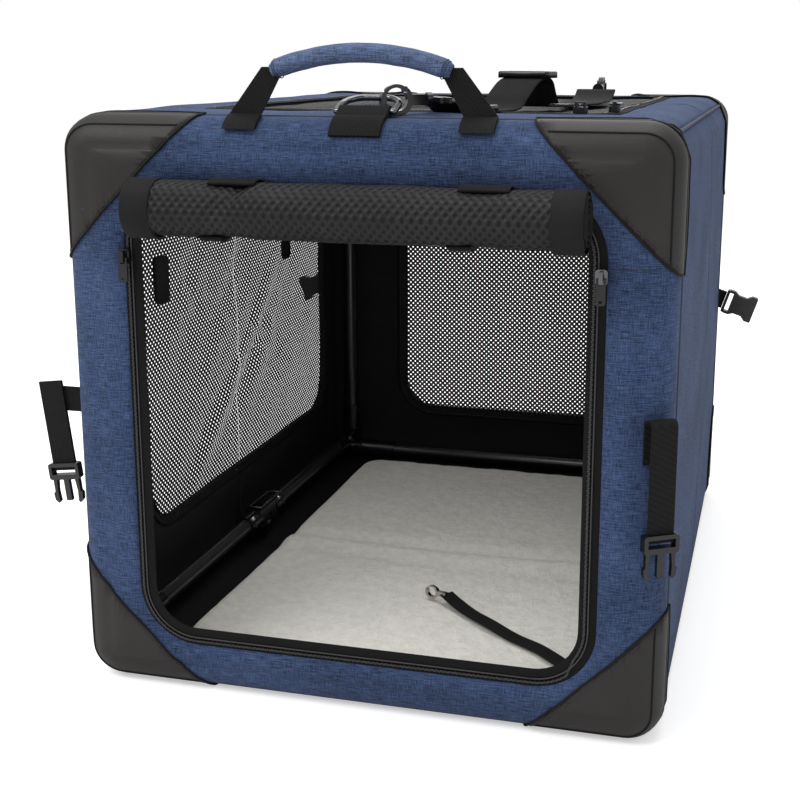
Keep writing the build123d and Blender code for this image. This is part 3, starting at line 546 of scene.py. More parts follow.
def stitches(path, up, length=0.0026, gap=0.0016, radius=0.00034):
    """Thread lying along a path in short raised stitches."""
    path = [Vector(p) for p in path]
    parts, start = [], 0.0
    pitch = length + gap
    lengths = [(b - a).length for a, b in zip(path, path[1:])]
    total = sum(lengths)

    def at(distance):
        for a, b, piece_length in zip(path, path[1:], lengths):
            if distance <= piece_length:
                return a.lerp(b, distance / max(piece_length, 1e-9))
            distance -= piece_length
        return path[-1]

    while start + length < total:
        a, b = at(start), at(start + length)
        middle = (a + b) / 2 + Vector(up) * radius
        line = [a - Vector(up) * radius * 0.6, a.lerp(middle, 0.5) + Vector(up) * radius * 0.5,
                middle + Vector(up) * radius * 0.4, b.lerp(middle, 0.5) + Vector(up) * radius * 0.5,
                b - Vector(up) * radius * 0.6]
        parts.append(swept(line, circle(radius, 5), up))
        start += pitch
    return merged(parts)


def chained(points):
    """Loose points put in order along their curve, from the end that lies furthest along +Y or -Y."""
    points = [Vector(p) for p in points]
    here = max(points, key=lambda p: (abs(p.y) < abs(points[0].y), -abs(p.y), p.x))
    left = [p for p in points if p is not here]
    path = [here]
    while left:
        nearest = min(left, key=lambda p: (p - here).length_squared)
        left.remove(nearest)
        if (nearest - here).length > 1e-5:
            path.append(nearest)
        here = nearest
    return path


def cut(verts, faces, point, normal, keep=True):
    """The part of a surface on the side of a plane that its normal points from, and the points on the cut."""
    work = bmesh.new()
    corners = [work.verts.new(v) for v in verts]
    for face in faces:
        work.faces.new([corners[i] for i in face])
    bmesh.ops.remove_doubles(work, verts=work.verts, dist=1e-6)
    geom = [*work.verts, *work.edges, *work.faces]
    found = bmesh.ops.bisect_plane(work, geom=geom, dist=1e-7, plane_co=point, plane_no=normal, clear_outer=keep)
    edge = [v.co.copy() for v in found["geom_cut"] if isinstance(v, bmesh.types.BMVert)]
    work.verts.index_update()
    out = [v.co.copy() for v in work.verts], [tuple(v.index for v in face.verts) for face in work.faces]
    work.free()
    return out, edge


def shell(name, verts, faces, body, outward, thick, slot, *materials, lift=0.0):
    """A cloth panel: the surface is its outer face, and its thickness goes inwards."""
    obj = piece(name, verts, faces, None, slot, *materials)
    mesh = obj.data
    lean = sum((p.normal.dot(outward(p.center)) * p.area for p in mesh.polygons), 0.0)
    if lean < 0:
        mesh.flip_normals()
    if lift:
        for vertex, normal in zip(mesh.vertices, [n.vector.copy() for n in mesh.vertex_normals]):
            vertex.co += normal * lift
    apply(obj, "SOLIDIFY", thickness=thick, offset=-1.0, material_offset=len(materials) - 1, use_even_offset=False,
          material_offset_rim=len(materials) - 1)
    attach(obj, body)
    return obj


def soft(obj, body):
    """Cloth between the two end frames, given a mesh of its own."""
    CAP_Y if body == REAR else -CAP_Y
    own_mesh(obj)
    return obj


def from_middle(point):
    return Vector(point) - Vector((0, 0, MID_Z))


def sag(point, size=0.0009, scale=17, seed=0.0):
    """Small unevenness of stuffed cloth."""
    return noise.noise(Vector(point) * scale + Vector((seed, seed, seed))) * size


def puffed(point):
    """The shell's left side is stuffed a little fuller than its right."""
    share = limited((-point.x - FULL_FROM) / (HALF_W - FULL_FROM))
    low = limited(point.z / LOW_EASE)
    return Vector((point.x - FULLER * share * share * (3 - 2 * share) * (0.55 + 0.45 * low), point.y, point.z))


def edge_bend(across, flat):
    """Unrolled place across a panel: (place along its plane, how far it has dropped towards the next panel)."""
    over = abs(across) - flat
    if over <= 0:
        return across, 0.0
    turn = over / EDGE
    return math.copysign(flat + EDGE * math.sin(turn), across), EDGE * (1 - math.cos(turn))


def window_panel(window, place, flat, crown, count=11):
    """A panel round a window, as rings from the window's edge out to the panel's own edge."""
    centre, half, radius = window
    reach = flat + EDGE * math.pi / 4
    inner = rounded(centre, half, radius)
    outer = rounded((0, 0), (CAP_Y, reach), 0.001)
    rings = []
    for k in range(count + 1):
        t = (k / count) ** 0.85
        ring = []
        for (a, b), (c, d) in zip(inner, outer):
            y, across = a + (c - a) * t, b + (d - b) * t
            puff = crown * math.sin(math.pi * t) ** 1.5
            ring.append(place(y, across, puff))
        rings.append(ring)
    return ringed(rings)


def plain_panel(place, flat, crown, along=60, over=24):
    reach = flat + EDGE * math.pi / 4
    rows = []
    for i in range(along + 1):
        y = -CAP_Y + 2 * CAP_Y * i / along
        rows.append([place(y, -reach + 2 * reach * k / over,
                           crown * (math.sin(math.pi * k / over) * abs(math.sin(math.pi * i / along))) ** 1.3)
                     for k in range(over + 1)])
    return loft(rows, closed=False)


def wall_place(side):
    flat = MID_Z - EDGE

    def place(y, across, puff):
        z, drop = edge_bend(across, flat)
        x = HALF_W - drop + puff
        x += FULLER * (0.55 + 0.45 * min(1.0, (MID_Z + z) / LOW_EASE)) if side < 0 else 0
        spot = Vector((x, y, MID_Z + z))
        x += sag(spot, seed=side * 3.0) if drop == 0 else 0
        return Vector((side * x, y, MID_Z + z))
    return place, flat


def roof_place(up):
    flat = HALF_W - EDGE

    def place(y, across, puff):
        x, drop = edge_bend(across, flat)
        z = MID_Z - drop + puff * up
        z += sag((x, y, 5), seed=2.0) if up and drop == 0 else 0
        return puffed(Vector((x, y, MID_Z + z * (1 if up else -1))))
    return place, flat


def cap_rings(side, window, crown):
    """An end panel, as rings from its window out, over the rounded edge and along to the rim's seam."""
    centre, half, radius = window
    face_half = (HALF_W - EDGE, MID_Z - EDGE)
    inner = rounded(centre, half, radius)
    outer = rounded((0, MID_Z), face_half, CORNER - EDGE)
    rings = []
    for lip, depth in ((0.0, 0.0028), (0.0, 0.0012), (0.0012, 0.0002)):
        ring = rounded(centre, (half[0] + lip, half[1] + lip), radius + lip)
        rings.append([Vector((a, side * (HALF_D - depth), b)) for a, b in ring])
    for k in range(1, 15):
        t = k / 14
        bulge = crown * math.sin(math.pi * t) ** 0.7 if k < 14 else 0
        ring = []
        for (a, b), (c, d) in zip(inner, outer):
            x, z = a + (c - a) * (0.02 + 0.98 * t), b + (d - b) * (0.02 + 0.98 * t)
            ring.append(Vector((x, side * (HALF_D + bulge + sag((x, side, z), 0.0011, 15)), z)))
        rings.append(ring)
    for k in range(1, 9):
        turn = math.pi / 2 * k / 8
        grow, back = EDGE * math.sin(turn), EDGE * (1 - math.cos(turn))
        ring = rounded((0, MID_Z), (face_half[0] + grow, face_half[1] + grow), CORNER - EDGE + grow)
        rings.append([Vector((a, side * (HALF_D - back), b)) for a, b in ring])
    last = rings[-1]
    for y in (HALF_D - EDGE - 0.002, CAP_Y + 0.002, CAP_Y):
        rings.append([Vector((p.x, side * y, p.z)) for p in last])
    return [[puffed(p) for p in ring] for ring in rings]


def window_of(low, high, radius):
    return ((low[0] + high[0]) / 2, (low[1] + high[1]) / 2), ((high[0] - low[0]) / 2, (high[1] - low[1]) / 2), radius


DOOR = window_of((-0.181, 0.042), (0.181, 0.408), 0.046)
REAR_WINDOW = window_of((-0.153, 0.066), (0.153, 0.388), 0.042)
SIDE_WINDOW = window_of((-0.206, 0.080 - MID_Z), (0.266, 0.380 - MID_Z), 0.048)
ROOF_WINDOW = window_of((-0.200, -0.165), (0.240, 0.165), 0.016)
FULLER = 0.0065        # extra fullness of the left side
FULL_FROM = 0.185      # it starts this far out from the middle
LOW_EASE = 0.03        # and eases off below this height
SEAM = 0.0002          # each half of the cloth ends this far from the fold
PITCH = 0.0018         # between zip teeth
PATH_STEP = 0.003      # along the cords and straps
TAPE_LOW = -0.0016     # underside of the door zip's tape
BAND = (0.0066, -0.0052)   # a window binding: how thick, and where its underside is
SHARP = 38             # degrees: edges that turn more stay sharp
PULL_WIDE, PULL_LONG = 0.8, 0.62   # a door pull beside its solid
HALVES = (("front", FRONT, 1), ("rear", REAR, -1))
LEG = 0.104            # corner cover, along each edge
COVER_STITCH = 0.0040  # its stitching, in from its edge
ROLL_Y, ROLL_Z, ROLL_R = -0.3459, 0.391, 0.021
ROLL_STRAPS = (-0.079, 0.102)
TOGGLES = (((-0.176, 0.285), (-0.153, 0.326)), ((0.127, 0.281), (0.145, 0.304)))
JOINS = (((-0.216, 0.3855), (-0.186, 0.3855)), ((0.184, 0.357), (0.219, 0.3565)),
         ((-0.1800, 0.0515), (-0.1738, 0.0570)))


def grown(window, by):
    centre, (a, b), radius = window
    return centre, (a + by, b + by), max(0.002, radius + by)


def frame_band(place, window, outside, inside, thick, lift=0.0):
    """A flat tape round a window: from outside its edge to inside it."""
    def loop(by, up):
        return [place(a, b, up) for a, b in rounded(*grown(window, by))]
    bottom, top = lift, lift + thick
    soft_edge = min(0.0004, thick * 0.4)
    rings = [loop(outside, bottom), loop(outside, top - soft_edge), loop(outside - soft_edge, top),
             loop(-inside + soft_edge, top), loop(-inside, top - soft_edge), loop(-inside, bottom)]
    return ringed(rings)


def teeth(path, ups, width, pitch, height):
    """Zip teeth: small blocks standing along a path, every other one shifted sideways."""
    parts = []
    path = [Vector(p) for p in path]
    spent, target, odd = 0.0, 0.0, False
    for i in range(len(path) - 1):
        a, b = path[i], path[i + 1]
        span = (b - a).length
        if span < 1e-9:
            continue
        along = (b - a) / span
        up = Vector(ups(a)) if callable(ups) else Vector(ups)
        across = along.cross(up).normalized()
        while target < spent + span:
            at = a + along * (target - spent) + across * (0.00018 if odd else -0.00018)
            half_l, half_w = pitch * 0.34, width / 2
            box = [at + along * sx * half_l + across * sy * half_w * (0.82 if sz else 1) + up * height * sz
                   for sz in (0, 1) for sx, sy in ((-1, -1), (1, -1), (1, 1), (-1, 1))]
            parts.append((box, [(4, 5, 6, 7), (0, 1, 5, 4), (1, 2, 6, 5), (2, 3, 7, 6), (3, 0, 4, 7)]))
            target += pitch
            odd = not odd
        spent += span
    return merged(parts)


def closed_loop(points):
    return [*points, points[0]]


def dress(name, material, bevel=0.0004, angle=SHARP):
    """A CAD node gets its finish, smooth curved faces and softened edges."""
    obj = NODES[name]
    obj.data.materials.clear()
    obj.data.materials.append(material)
    for polygon in obj.data.polygons:
        polygon.material_index = 0
        polygon.use_smooth = True
    obj.data.set_sharp_from_angle(angle=math.radians(angle))
    if bevel:
        modifier = obj.modifiers.new("edges", "BEVEL")
        modifier.width = bevel
        modifier.segments = 2
        modifier.limit_method = "ANGLE"
        modifier.angle_limit = math.radians(angle)
        modifier.harden_normals = True
        modifier.use_clamp_overlap = True


def trimmed(name, body, slot, material, move=Vector):
    """A piece in place of a CAD node, with the node's own surface moved point by point."""
    node = NODES[name]
    verts = [move(node.matrix_world @ v.co) for v in node.data.vertices]
    faces = [tuple(p.vertices) for p in node.data.polygons]
    obj = piece(f"{name}_web", verts, faces, body, slot, material)
    obj.data.set_sharp_from_angle(angle=math.radians(SHARP))
    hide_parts(name)
    return obj


# ---- sizes and colours -----------------------------------------------------
def size(name, description, default):
    return FloatProperty(name=name, description=description, default=default, unit="LENGTH", subtype="DISTANCE")


def colour(name, description, default):
    return FloatVectorProperty(name=name, description=description, default=default, size=3, min=0, max=1,
                               subtype="COLOR")


class CarrierSizes(bpy.types.PropertyGroup):
    """Sizes of the soft pieces."""
    cloth: size("Padded cloth", "Thickness of the padded shell", 0.0036)
    crown: size("Crown", "How far a padded panel stands out in its middle", 0.0028)
    cover: size("Corner cover", "Thickness of a corner cover", 0.0009)
    binding: size("Binding", "Radius of the corded bindings", 0.0009)
    tape: size("Zip tape", "Thickness of a zip's tape", 0.0012)
    tooth: size("Zip tooth", "Width of a row of zip teeth", 0.0020)
    strap: size("Strap", "Width of the shoulder strap", 0.038)
    web: size("Webbing", "Thickness of the webbing", 0.0016)
    pile: size("Pile", "Height of the fleece's clumps", 0.0030)


class CarrierColours(bpy.types.PropertyGroup):
    """Colours of the finishes."""
    shell: colour("Shell", "Melange cloth of the shell", (0.0370, 0.0600, 0.1290))
    grip: colour("Grip", "Sleeve of the handle", (0.072, 0.102, 0.188))
    lining: colour("Lining", "Inside of the shell", (0.0090, 0.0085, 0.0088))
    cover: colour("Covers", "Coated cloth of the corner covers", (0.019, 0.0175, 0.0165))
    mesh: colour("Mesh", "Mesh of the windows and the door", (0.008, 0.008, 0.009))
    web: colour("Webbing", "Straps and tapes", (0.0065, 0.0065, 0.007))
    nylon: colour("Nylon", "Moulded fittings", (0.0075, 0.0075, 0.008))
    tube: colour("Tube", "Powder coat of the frame", (0.006, 0.006, 0.0065))
    fleece: colour("Fleece", "Pile of the pad", (0.92, 0.89, 0.82))
    teeth: colour("Teeth", "Teeth of the zips", (0.075, 0.075, 0.078))
    floor: colour("Floor", "Ground under the carrier", (0.90, 0.90, 0.90))


FINISHES = {}


def finish(name):
    """The material of that name, made when it is first asked for."""
    if name not in FINISHES:
        c = bpy.context.scene.carrier_colours
        makers = {
            "shell": lambda: melange("shell cloth", c.shell),
            "grip": lambda: melange("grip cloth", c.grip),
            "lining": lambda: lining("black lining", c.lining),
            "cover": lambda: leatherette("coated cover", c.cover),
            "binding": lambda: lining("woven binding", shade(c.lining, 1.1)),
            "thread": lambda: moulded("black thread", (0.03, 0.028, 0.026), 0.6),
            "blue thread": lambda: moulded("blue thread", shade(c.shell, 0.45), 0.7),
            "screen": lambda: window_mesh("window mesh", c.mesh),
            "spacer": lambda: spacer_mesh("spacer mesh", c.mesh),
            "web": lambda: webbing("webbing", c.web),
            "strap": lambda: webbing("shoulder webbing", c.web),
            "tape": lambda: webbing("zip tape", shade(c.web, 0.8), 0.0011),
            "teeth": lambda: metal("zip teeth", c.teeth, 0.34),
            "gloss": lambda: moulded("glossy nylon", shade(c.nylon, 0.6), 0.2, 90, 0.0001),
            "tube": lambda: enamel("powder coat", c.tube),
            "steel": lambda: metal("rivet steel", (0.80, 0.80, 0.81), 0.16),
            "chrome": lambda: metal("dark chrome", (0.16, 0.16, 0.17), 0.16),
            "nickel": lambda: metal("nickel", (0.52, 0.48, 0.44), 0.2),
            "fleece": lambda: fleece("cream fleece", c.fleece),
        }
        FINISHES[name] = makers[name]()
    return FINISHES[name]


def sizes():
    return bpy.context.scene.carrier_sizes


class Maker:
    """What every maker of pieces shares."""
    bl_options = {"REGISTER", "UNDO"}

    def execute(self, context):
        self.make(sizes())
        return {"FINISHED"}


# ---- the pieces ------------------------------------------------------------
class CARRIER_OT_caps(Maker, bpy.types.Operator):
    """The two padded end panels with their windows, and the corner covers sewn over them"""
    bl_idname = "carrier.caps"
    bl_label = "End panels"

    def make(self, s):
        for side, window, node, body in ((-1, DOOR, "front_panel", FRONT), (1, REAR_WINDOW, "rear_panel", REAR)):
            rings = cap_rings(side, window, s.crown)
            verts, faces = ringed(rings)

            def outward(p, side=side):
                return Vector((p.x * 0.3, side, (p.z - MID_Z) * 0.3))
            panel = shell(f"{node}_cloth", verts, faces, body, outward, s.cloth, "melange_fabric",
                          finish("shell"), finish("lining"))
            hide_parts(node)
            covers = self.covers(s, side, verts, faces, body, outward)
            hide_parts(node.replace("panel", "corner_patches"))
            seam = swept(closed_loop([Vector((p.x, side * (CAP_Y + 0.0006), p.z)) for p in rings[-1]]),
                         circle(0.0011, 8), (0, 1, 0), caps=False)
            piece(f"{node}_rim_binding", *seam, body, "melange_fabric", finish("blue thread"))
            self.edge_seams(node, side, rings, body)

    def edge_seams(self, node, side, rings, body):
        """The seams that round off the corner covers, the black edge below and short joins."""
        ring = smooth_path(rings[20], PATH_STEP, closed=True)

        def out(points, by):
            middle = Vector((0, side * (HALF_D - EDGE), MID_Z))
            return [p + (Vector((p.x, 0, p.z - MID_Z)).normalized() * 0.7 + Vector((0, side * 0.7, 0))) * by
                    for p in points]
        runs = runs_of(closed_loop(ring), self.under_cover)
        cords = [swept(out(r, 0.0013), circle(0.0008, 6), (0, side, 0)) for r in runs]
        cords += [stitches(out(self.inward(r, 0.0035), 0.0013), (0, side, 0)) for r in runs]
        piece(f"{node}_cover_seam", *merged(cords), body, "corner_leatherette", finish("binding"))
        low = [p for p in rings[23] if p.z < MID_Z and abs(p.x) < HALF_W - 0.075]
        low.sort(key=lambda p: p.x)
        piece(f"{node}_lower_edge", *swept(low, circle(0.0016, 8), (0, side, 0)), body, "black_webbing",
              finish("binding"))
        if side < 0:
            cords = []
            for (x0, z0), (x1, z1) in JOINS:
                line = [Vector((x0 + (x1 - x0) * t / 12, -HALF_D - 0.0022, z0 + (z1 - z0) * t / 12)) for t in range(13)]
                cords.append(swept([self.onto_face(p, rings) for p in line], circle(0.0005, 6), (0, -1, 0)))
            piece(f"{node}_joins", *merged(cords), body, "melange_fabric", finish("blue thread"))

    def under_cover(self, p):
        return (HALF_W - abs(p.x)) + (MID_Z - abs(p.z - MID_Z)) < LEG - 0.001

    def onto_face(self, point, rings):
        nearest = min((p for ring in rings[3:17] for p in ring),
                      key=lambda p: (p.x - point.x) ** 2 + (p.z - point.z) ** 2)
        return Vector((point.x, nearest.y - 0.0001, point.z))

    def inward(self, points, by):
        return [Vector((p.x - math.copysign(by, p.x) * (abs(p.x) > HALF_W - 0.035), p.y + math.copysign(0.0016, p.y),
                        p.z - math.copysign(by, p.z - MID_Z) * (abs(p.z - MID_Z) > MID_Z - 0.035))) for p in points]

    def covers(self, s, side, verts, faces, body, outward):
        parts, cords, threads = [], [], []
        for sx in (-1, 1):
            for sz in (-1, 1):
                normal = Vector((-sx, 0, -sz)).normalized()
                corner = Vector((sx * HALF_W, 0, MID_Z + sz * MID_Z))

                def region(inset):
                    point = corner + normal * ((LEG - inset) / math.sqrt(2))
                    return cut(verts, faces, point, normal)
                (part, quads), edge = region(0.0)
                parts.append((part, quads))
                edge = [p for p in edge if p.x * sx > 0 and (p.z - MID_Z) * sz > 0]
                lift = self.lifted(chained(edge), side, 0.0012)
                cords.append(swept(lift, circle(s.binding, 8), (0, side, 0)))
                edge = [p for p in region(COVER_STITCH)[1] if p.x * sx > 0 and (p.z - MID_Z) * sz > 0]
                line = self.lifted(chained(edge), side, 0.0013)
                threads.append(stitches(line, (0, side, 0), 0.0030, 0.0014, 0.00026))
        name = "front" if side < 0 else "rear"
        cover = shell(f"{name}_corner_covers", *merged(parts), body, outward, s.cover, "corner_leatherette",
                      finish("cover"), lift=s.cover + 0.0002)
        piece(f"{name}_cover_binding", *merged(cords), body, "corner_leatherette", finish("binding"))
        piece(f"{name}_cover_stitching", *merged(threads), body, "corner_leatherette", finish("thread"))
        return cover

    def lifted(self, path, side, by):
        out = []
        for p in path:
            back = abs(p.y) - (HALF_D - EDGE)
            turn = limited(back / EDGE)
            away = Vector((math.copysign(1, p.x) if abs(p.x) > HALF_W - EDGE else 0, 0,
                           math.copysign(1, p.z - MID_Z) if abs(p.z - MID_Z) > MID_Z - EDGE else 0))
            out.append(p + (away * (1 - turn) + Vector((0, side * max(turn, 0.2), 0))).normalized() * by)
        return out


class CARRIER_OT_walls(Maker, bpy.types.Operator):
    """Side walls, roof and floor, each in a front and a rear half that meet at the fold"""
    bl_idname = "carrier.walls"
    bl_label = "Walls, roof and floor"

    def make(self, s):
        left, flat = wall_place(-1)
        right, _ = wall_place(1)
        over, wide = roof_place(True)
        under, _ = roof_place(False)
        panels = (("left_wall", window_panel(SIDE_WINDOW, left, flat, s.crown), "shell", 0.0),
                  ("right_wall", plain_panel(right, flat, s.crown * 1.3), "shell", 0.0),
                  ("roof", window_panel(ROOF_WINDOW, over, wide, s.crown * 0.8), "shell", 0.0),
                  ("floor", plain_panel(under, wide, 0.0), "lining", FOLD_Y))
        for name, (verts, faces), cloth, fold in panels:
            for half, body, sign in HALVES:
                (part, quads), _ = cut(verts, faces, Vector((0, fold - sign * SEAM, 0)), Vector((0, sign, 0)))
                panel = shell(f"{name}_{half}_cloth", part, quads, body, from_middle, s.cloth, "melange_fabric",
                              finish(cloth), finish("lining"))
                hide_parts(f"{name}_{half}")
                soft(panel, body)
        for sx in (-1, 1):
            for sz in (-1, 1):
                near = EDGE * math.sqrt(0.5) - EDGE
                line = [Vector((sx * (HALF_W + near), y * 0.01, MID_Z + sz * (MID_Z + near))) for y in range(-29, 30)]
                for half, body, keep in (("front", FRONT, [p for p in line if p.y <= 0]),
                                         ("rear", REAR, [p for p in line if p.y >= 0])):
                    name = f"{'left' if sx < 0 else 'right'}_{'low' if sz < 0 else 'top'}_seam_{half}"
                    soft(piece(name, *swept(keep, circle(0.0013, 8), (0, 0, 1)), body, "melange_fabric",
                               finish("blue thread" if sz > 0 else "binding")), body)


class CARRIER_OT_cover_strips(Maker, bpy.types.Operator):
    """Strips of the corner covers that run on over the roof and the side walls, with their bindings"""
    bl_idname = "carrier.cover_strips"
    bl_label = "Cover strips"

    def make(self, s):
        for end, body, reach in ((-1, FRONT, 0.006), (1, REAR, 0.045)):
            half = "front" if end < 0 else "rear"
            under = merged([([v.co for v in mesh.vertices], [tuple(p.vertices) for p in mesh.polygons])
                            for mesh in (bpy.data.objects[f"{name}_{half}_cloth"].data
                                         for name in ("left_wall", "right_wall", "roof", "floor"))])
            self.under = BVHTree.FromPolygons(*under)
            parts, cords = [], []
            for sx in (-1, 1):
                for sz in (-1, 1):
                    rows, edge = [], []
                    for i in range(41):
                        along = -1 + i / 20
                        for_roof = along > 0
                        span = (LEG - 0.004) * abs(along)
                        wide = reach * (1 - max(0.0, (abs(along) - 0.72) / 0.28) ** 2)
                        row = [self.spot(sx, sz, for_roof, span, end * (CAP_Y + 0.001 - wide * k / 6), s.cover + 0.0006)
                               for k in range(7)]
                        rows.append(row)
                        edge.append(row[-1])
                    parts.append(loft(rows, closed=False))
                    cords.append(swept(edge, circle(s.binding, 8), (0, end, 0)))
            soft(shell(f"{half}_cover_strips", *merged(parts), body, from_middle, s.cover, "corner_leatherette",
                       finish("cover")), body)
            soft(piece(f"{half}_strip_binding", *merged(cords), body, "corner_leatherette", finish("binding")), body)

    def spot(self, sx, sz, for_roof, span, y, lift):
        """A place on the outside at a distance along the roof or the wall from the long edge between them."""
        turn = math.pi / 4 + (1 if for_roof else -1) * min(span / EDGE, math.pi / 4)
        rest = max(0.0, span - EDGE * math.pi / 4)
        x = HALF_W - EDGE + (EDGE + lift) * math.cos(turn) - (rest if for_roof else 0)
        z = MID_Z - EDGE + (EDGE + lift) * math.sin(turn) - (0 if for_roof else rest)
        nominal = puffed(Vector((sx * x, y, MID_Z + sz * z)))
        out = Vector((sx * math.cos(turn), 0, sz * math.sin(turn)))
        cloth = self.under.ray_cast(nominal + out * 0.012, -out, 0.024)[0]
        return cloth + out * lift if cloth else nominal


class CARRIER_OT_screens(Maker, bpy.types.Operator):
    """Mesh of the windows, with their bindings, the roof window's zip and the side screen's toggles"""
    bl_idname = "carrier.screens"
    bl_label = "Window screens"

    def make(self, s):
        left, _ = wall_place(-1)
        over, _ = roof_place(True)

        def rear(a, b, up):
            return Vector((a, HALF_D + up, b))
        made = {}
        spots = (("side_screen", SIDE_WINDOW, left, -0.0024, 0.006), ("roof_screen", ROOF_WINDOW, over, -0.0012, 0.004))
        for name, window, place, depth, lap in spots:
            verts, faces = self.sheet(window, place, depth, lap)
            band = frame_band(place, window, 0.0015, 0.007, *BAND)
            if name[0] == "r":
                band = merged([band, frame_band(place, window, 0.007, 0.007, s.tape, 0.0002)])
            for half, body, sign in HALVES:
                (part, quads), _ = cut(verts, faces, Vector((0, -sign * SEAM, 0)), Vector((0, sign, 0)))
                sheet = soft(piece(f"{name}_{half}", part, quads, body, "black_mesh", finish("screen")), body)
                made.setdefault(half, []).append(sheet)
                (part, quads), _ = cut(*band, Vector((0, -sign * SEAM, 0)), Vector((0, sign, 0)))
                soft(piece(f"{name}_band_{half}", part, quads, body, "black_webbing", finish("tape")), body)
        sheet = piece("rear_screen", *self.sheet(REAR_WINDOW, rear, -0.0022, 0.006), REAR, "black_mesh",
                      finish("screen"))
        piece("rear_screen_band", *frame_band(rear, REAR_WINDOW, 0.0015, 0.009, *BAND), REAR,
              "black_webbing", finish("tape"))
        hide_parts("front_half_screens")
        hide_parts("rear_half_screens")
        row = closed_loop([over(a, b, s.tape + 0.0002) for a, b in rounded(*grown(ROOF_WINDOW, 0.0))])
        for half, body, sign in HALVES:
            blocks = [teeth(run, (0, 0, 1), s.tooth, PITCH, 0.0009) for run in runs_of(row, lambda p: p.y * sign <= 0)]
            soft(piece(f"roof_zip_teeth_{half}", *merged(blocks), body, "black_zip", finish("teeth"), smooth=False),
                 body)
        for n, (low, high) in enumerate(TOGGLES):
            body = FRONT if n == 0 else REAR
            tab = rounded(*window_of(low, high, 0.004), 5, 3)
            rings = [[Vector((-HALF_W - FULLER + x, a, b)) for a, b in tab] for x in (0.0040, 0.0076)]
            verts, faces = ringed(rings)
            count = len(tab) + 1
            faces += [tuple(range(count - 1)), tuple(range(count, 2 * count - 1))]
            soft(piece(f"side_screen_toggle_{n}", verts, faces, body, "black_webbing", finish("web")), body)

    def sheet(self, window, place, depth, lap, count=12):
        centre, half, radius = window
        outer = rounded(centre, (half[0] + lap, half[1] + lap), radius + lap)
        rings = []
        for k in range(count + 1):
            t = 1 - k / count
            fall = -0.0022 * (1 - t * t)
            rings.append([place(centre[0] + (a - centre[0]) * t, centre[1] + (b - centre[1]) * t,
                                depth + fall + sag((a * t, b * t, 9), 0.0012, 12)
                                + (1 - t) * sag(((a - b) * t * 1.3, (a + b) * t * 0.22, 4), 0.0080, 22))
                          for a, b in outer])
        return ringed(rings)


class CARRIER_OT_door_zip(Maker, bpy.types.Operator):
    """The door's zip: its tape round the opening, two rows of teeth and the black sill lining"""
    bl_idname = "carrier.door_zip"
    bl_label = "Door zip"

    def make(self, s):
        def place(a, b, up):
            return Vector((a, -HALF_D - up, b))
        band = frame_band(place, DOOR, 0.004, 0.0125, s.tape, TAPE_LOW)
        tape = piece("door_zip_tape", *band, FRONT, "black_zip", finish("tape"))
        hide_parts("door_zip")
        top = TAPE_LOW + s.tape
        split = len(rounded(*DOOR)) // 4
        loop = rounded(*grown(DOOR, -0.0080))
        outer = rounded(*grown(DOOR, -0.0022))
        # Anticlockwise from the lower right corner: right, top, left and bottom sides in turn.
        right_top = loop[6:2 * split + 1]
        left_low = outer[2 * split:] + outer[:5]
        edges = ([place(a, b, top) for a, b in right_top], [place(a, b, top) for a, b in left_low + loop[6:7]])
        blocks = [teeth(path, (0, -1, 0), s.tooth, PITCH, 0.0011) for path in edges]
        piece("door_zip_teeth", *merged(blocks), FRONT, "black_zip", finish("teeth"), smooth=False)
        seam = [place(a, b, top + 0.0008) for a, b in closed_loop(rounded(*grown(DOOR, -0.0052)))]
        piece("door_zip_seam", *swept(seam, circle(0.0006, 6), (0, -1, 0)), FRONT, "black_zip", finish("thread"))


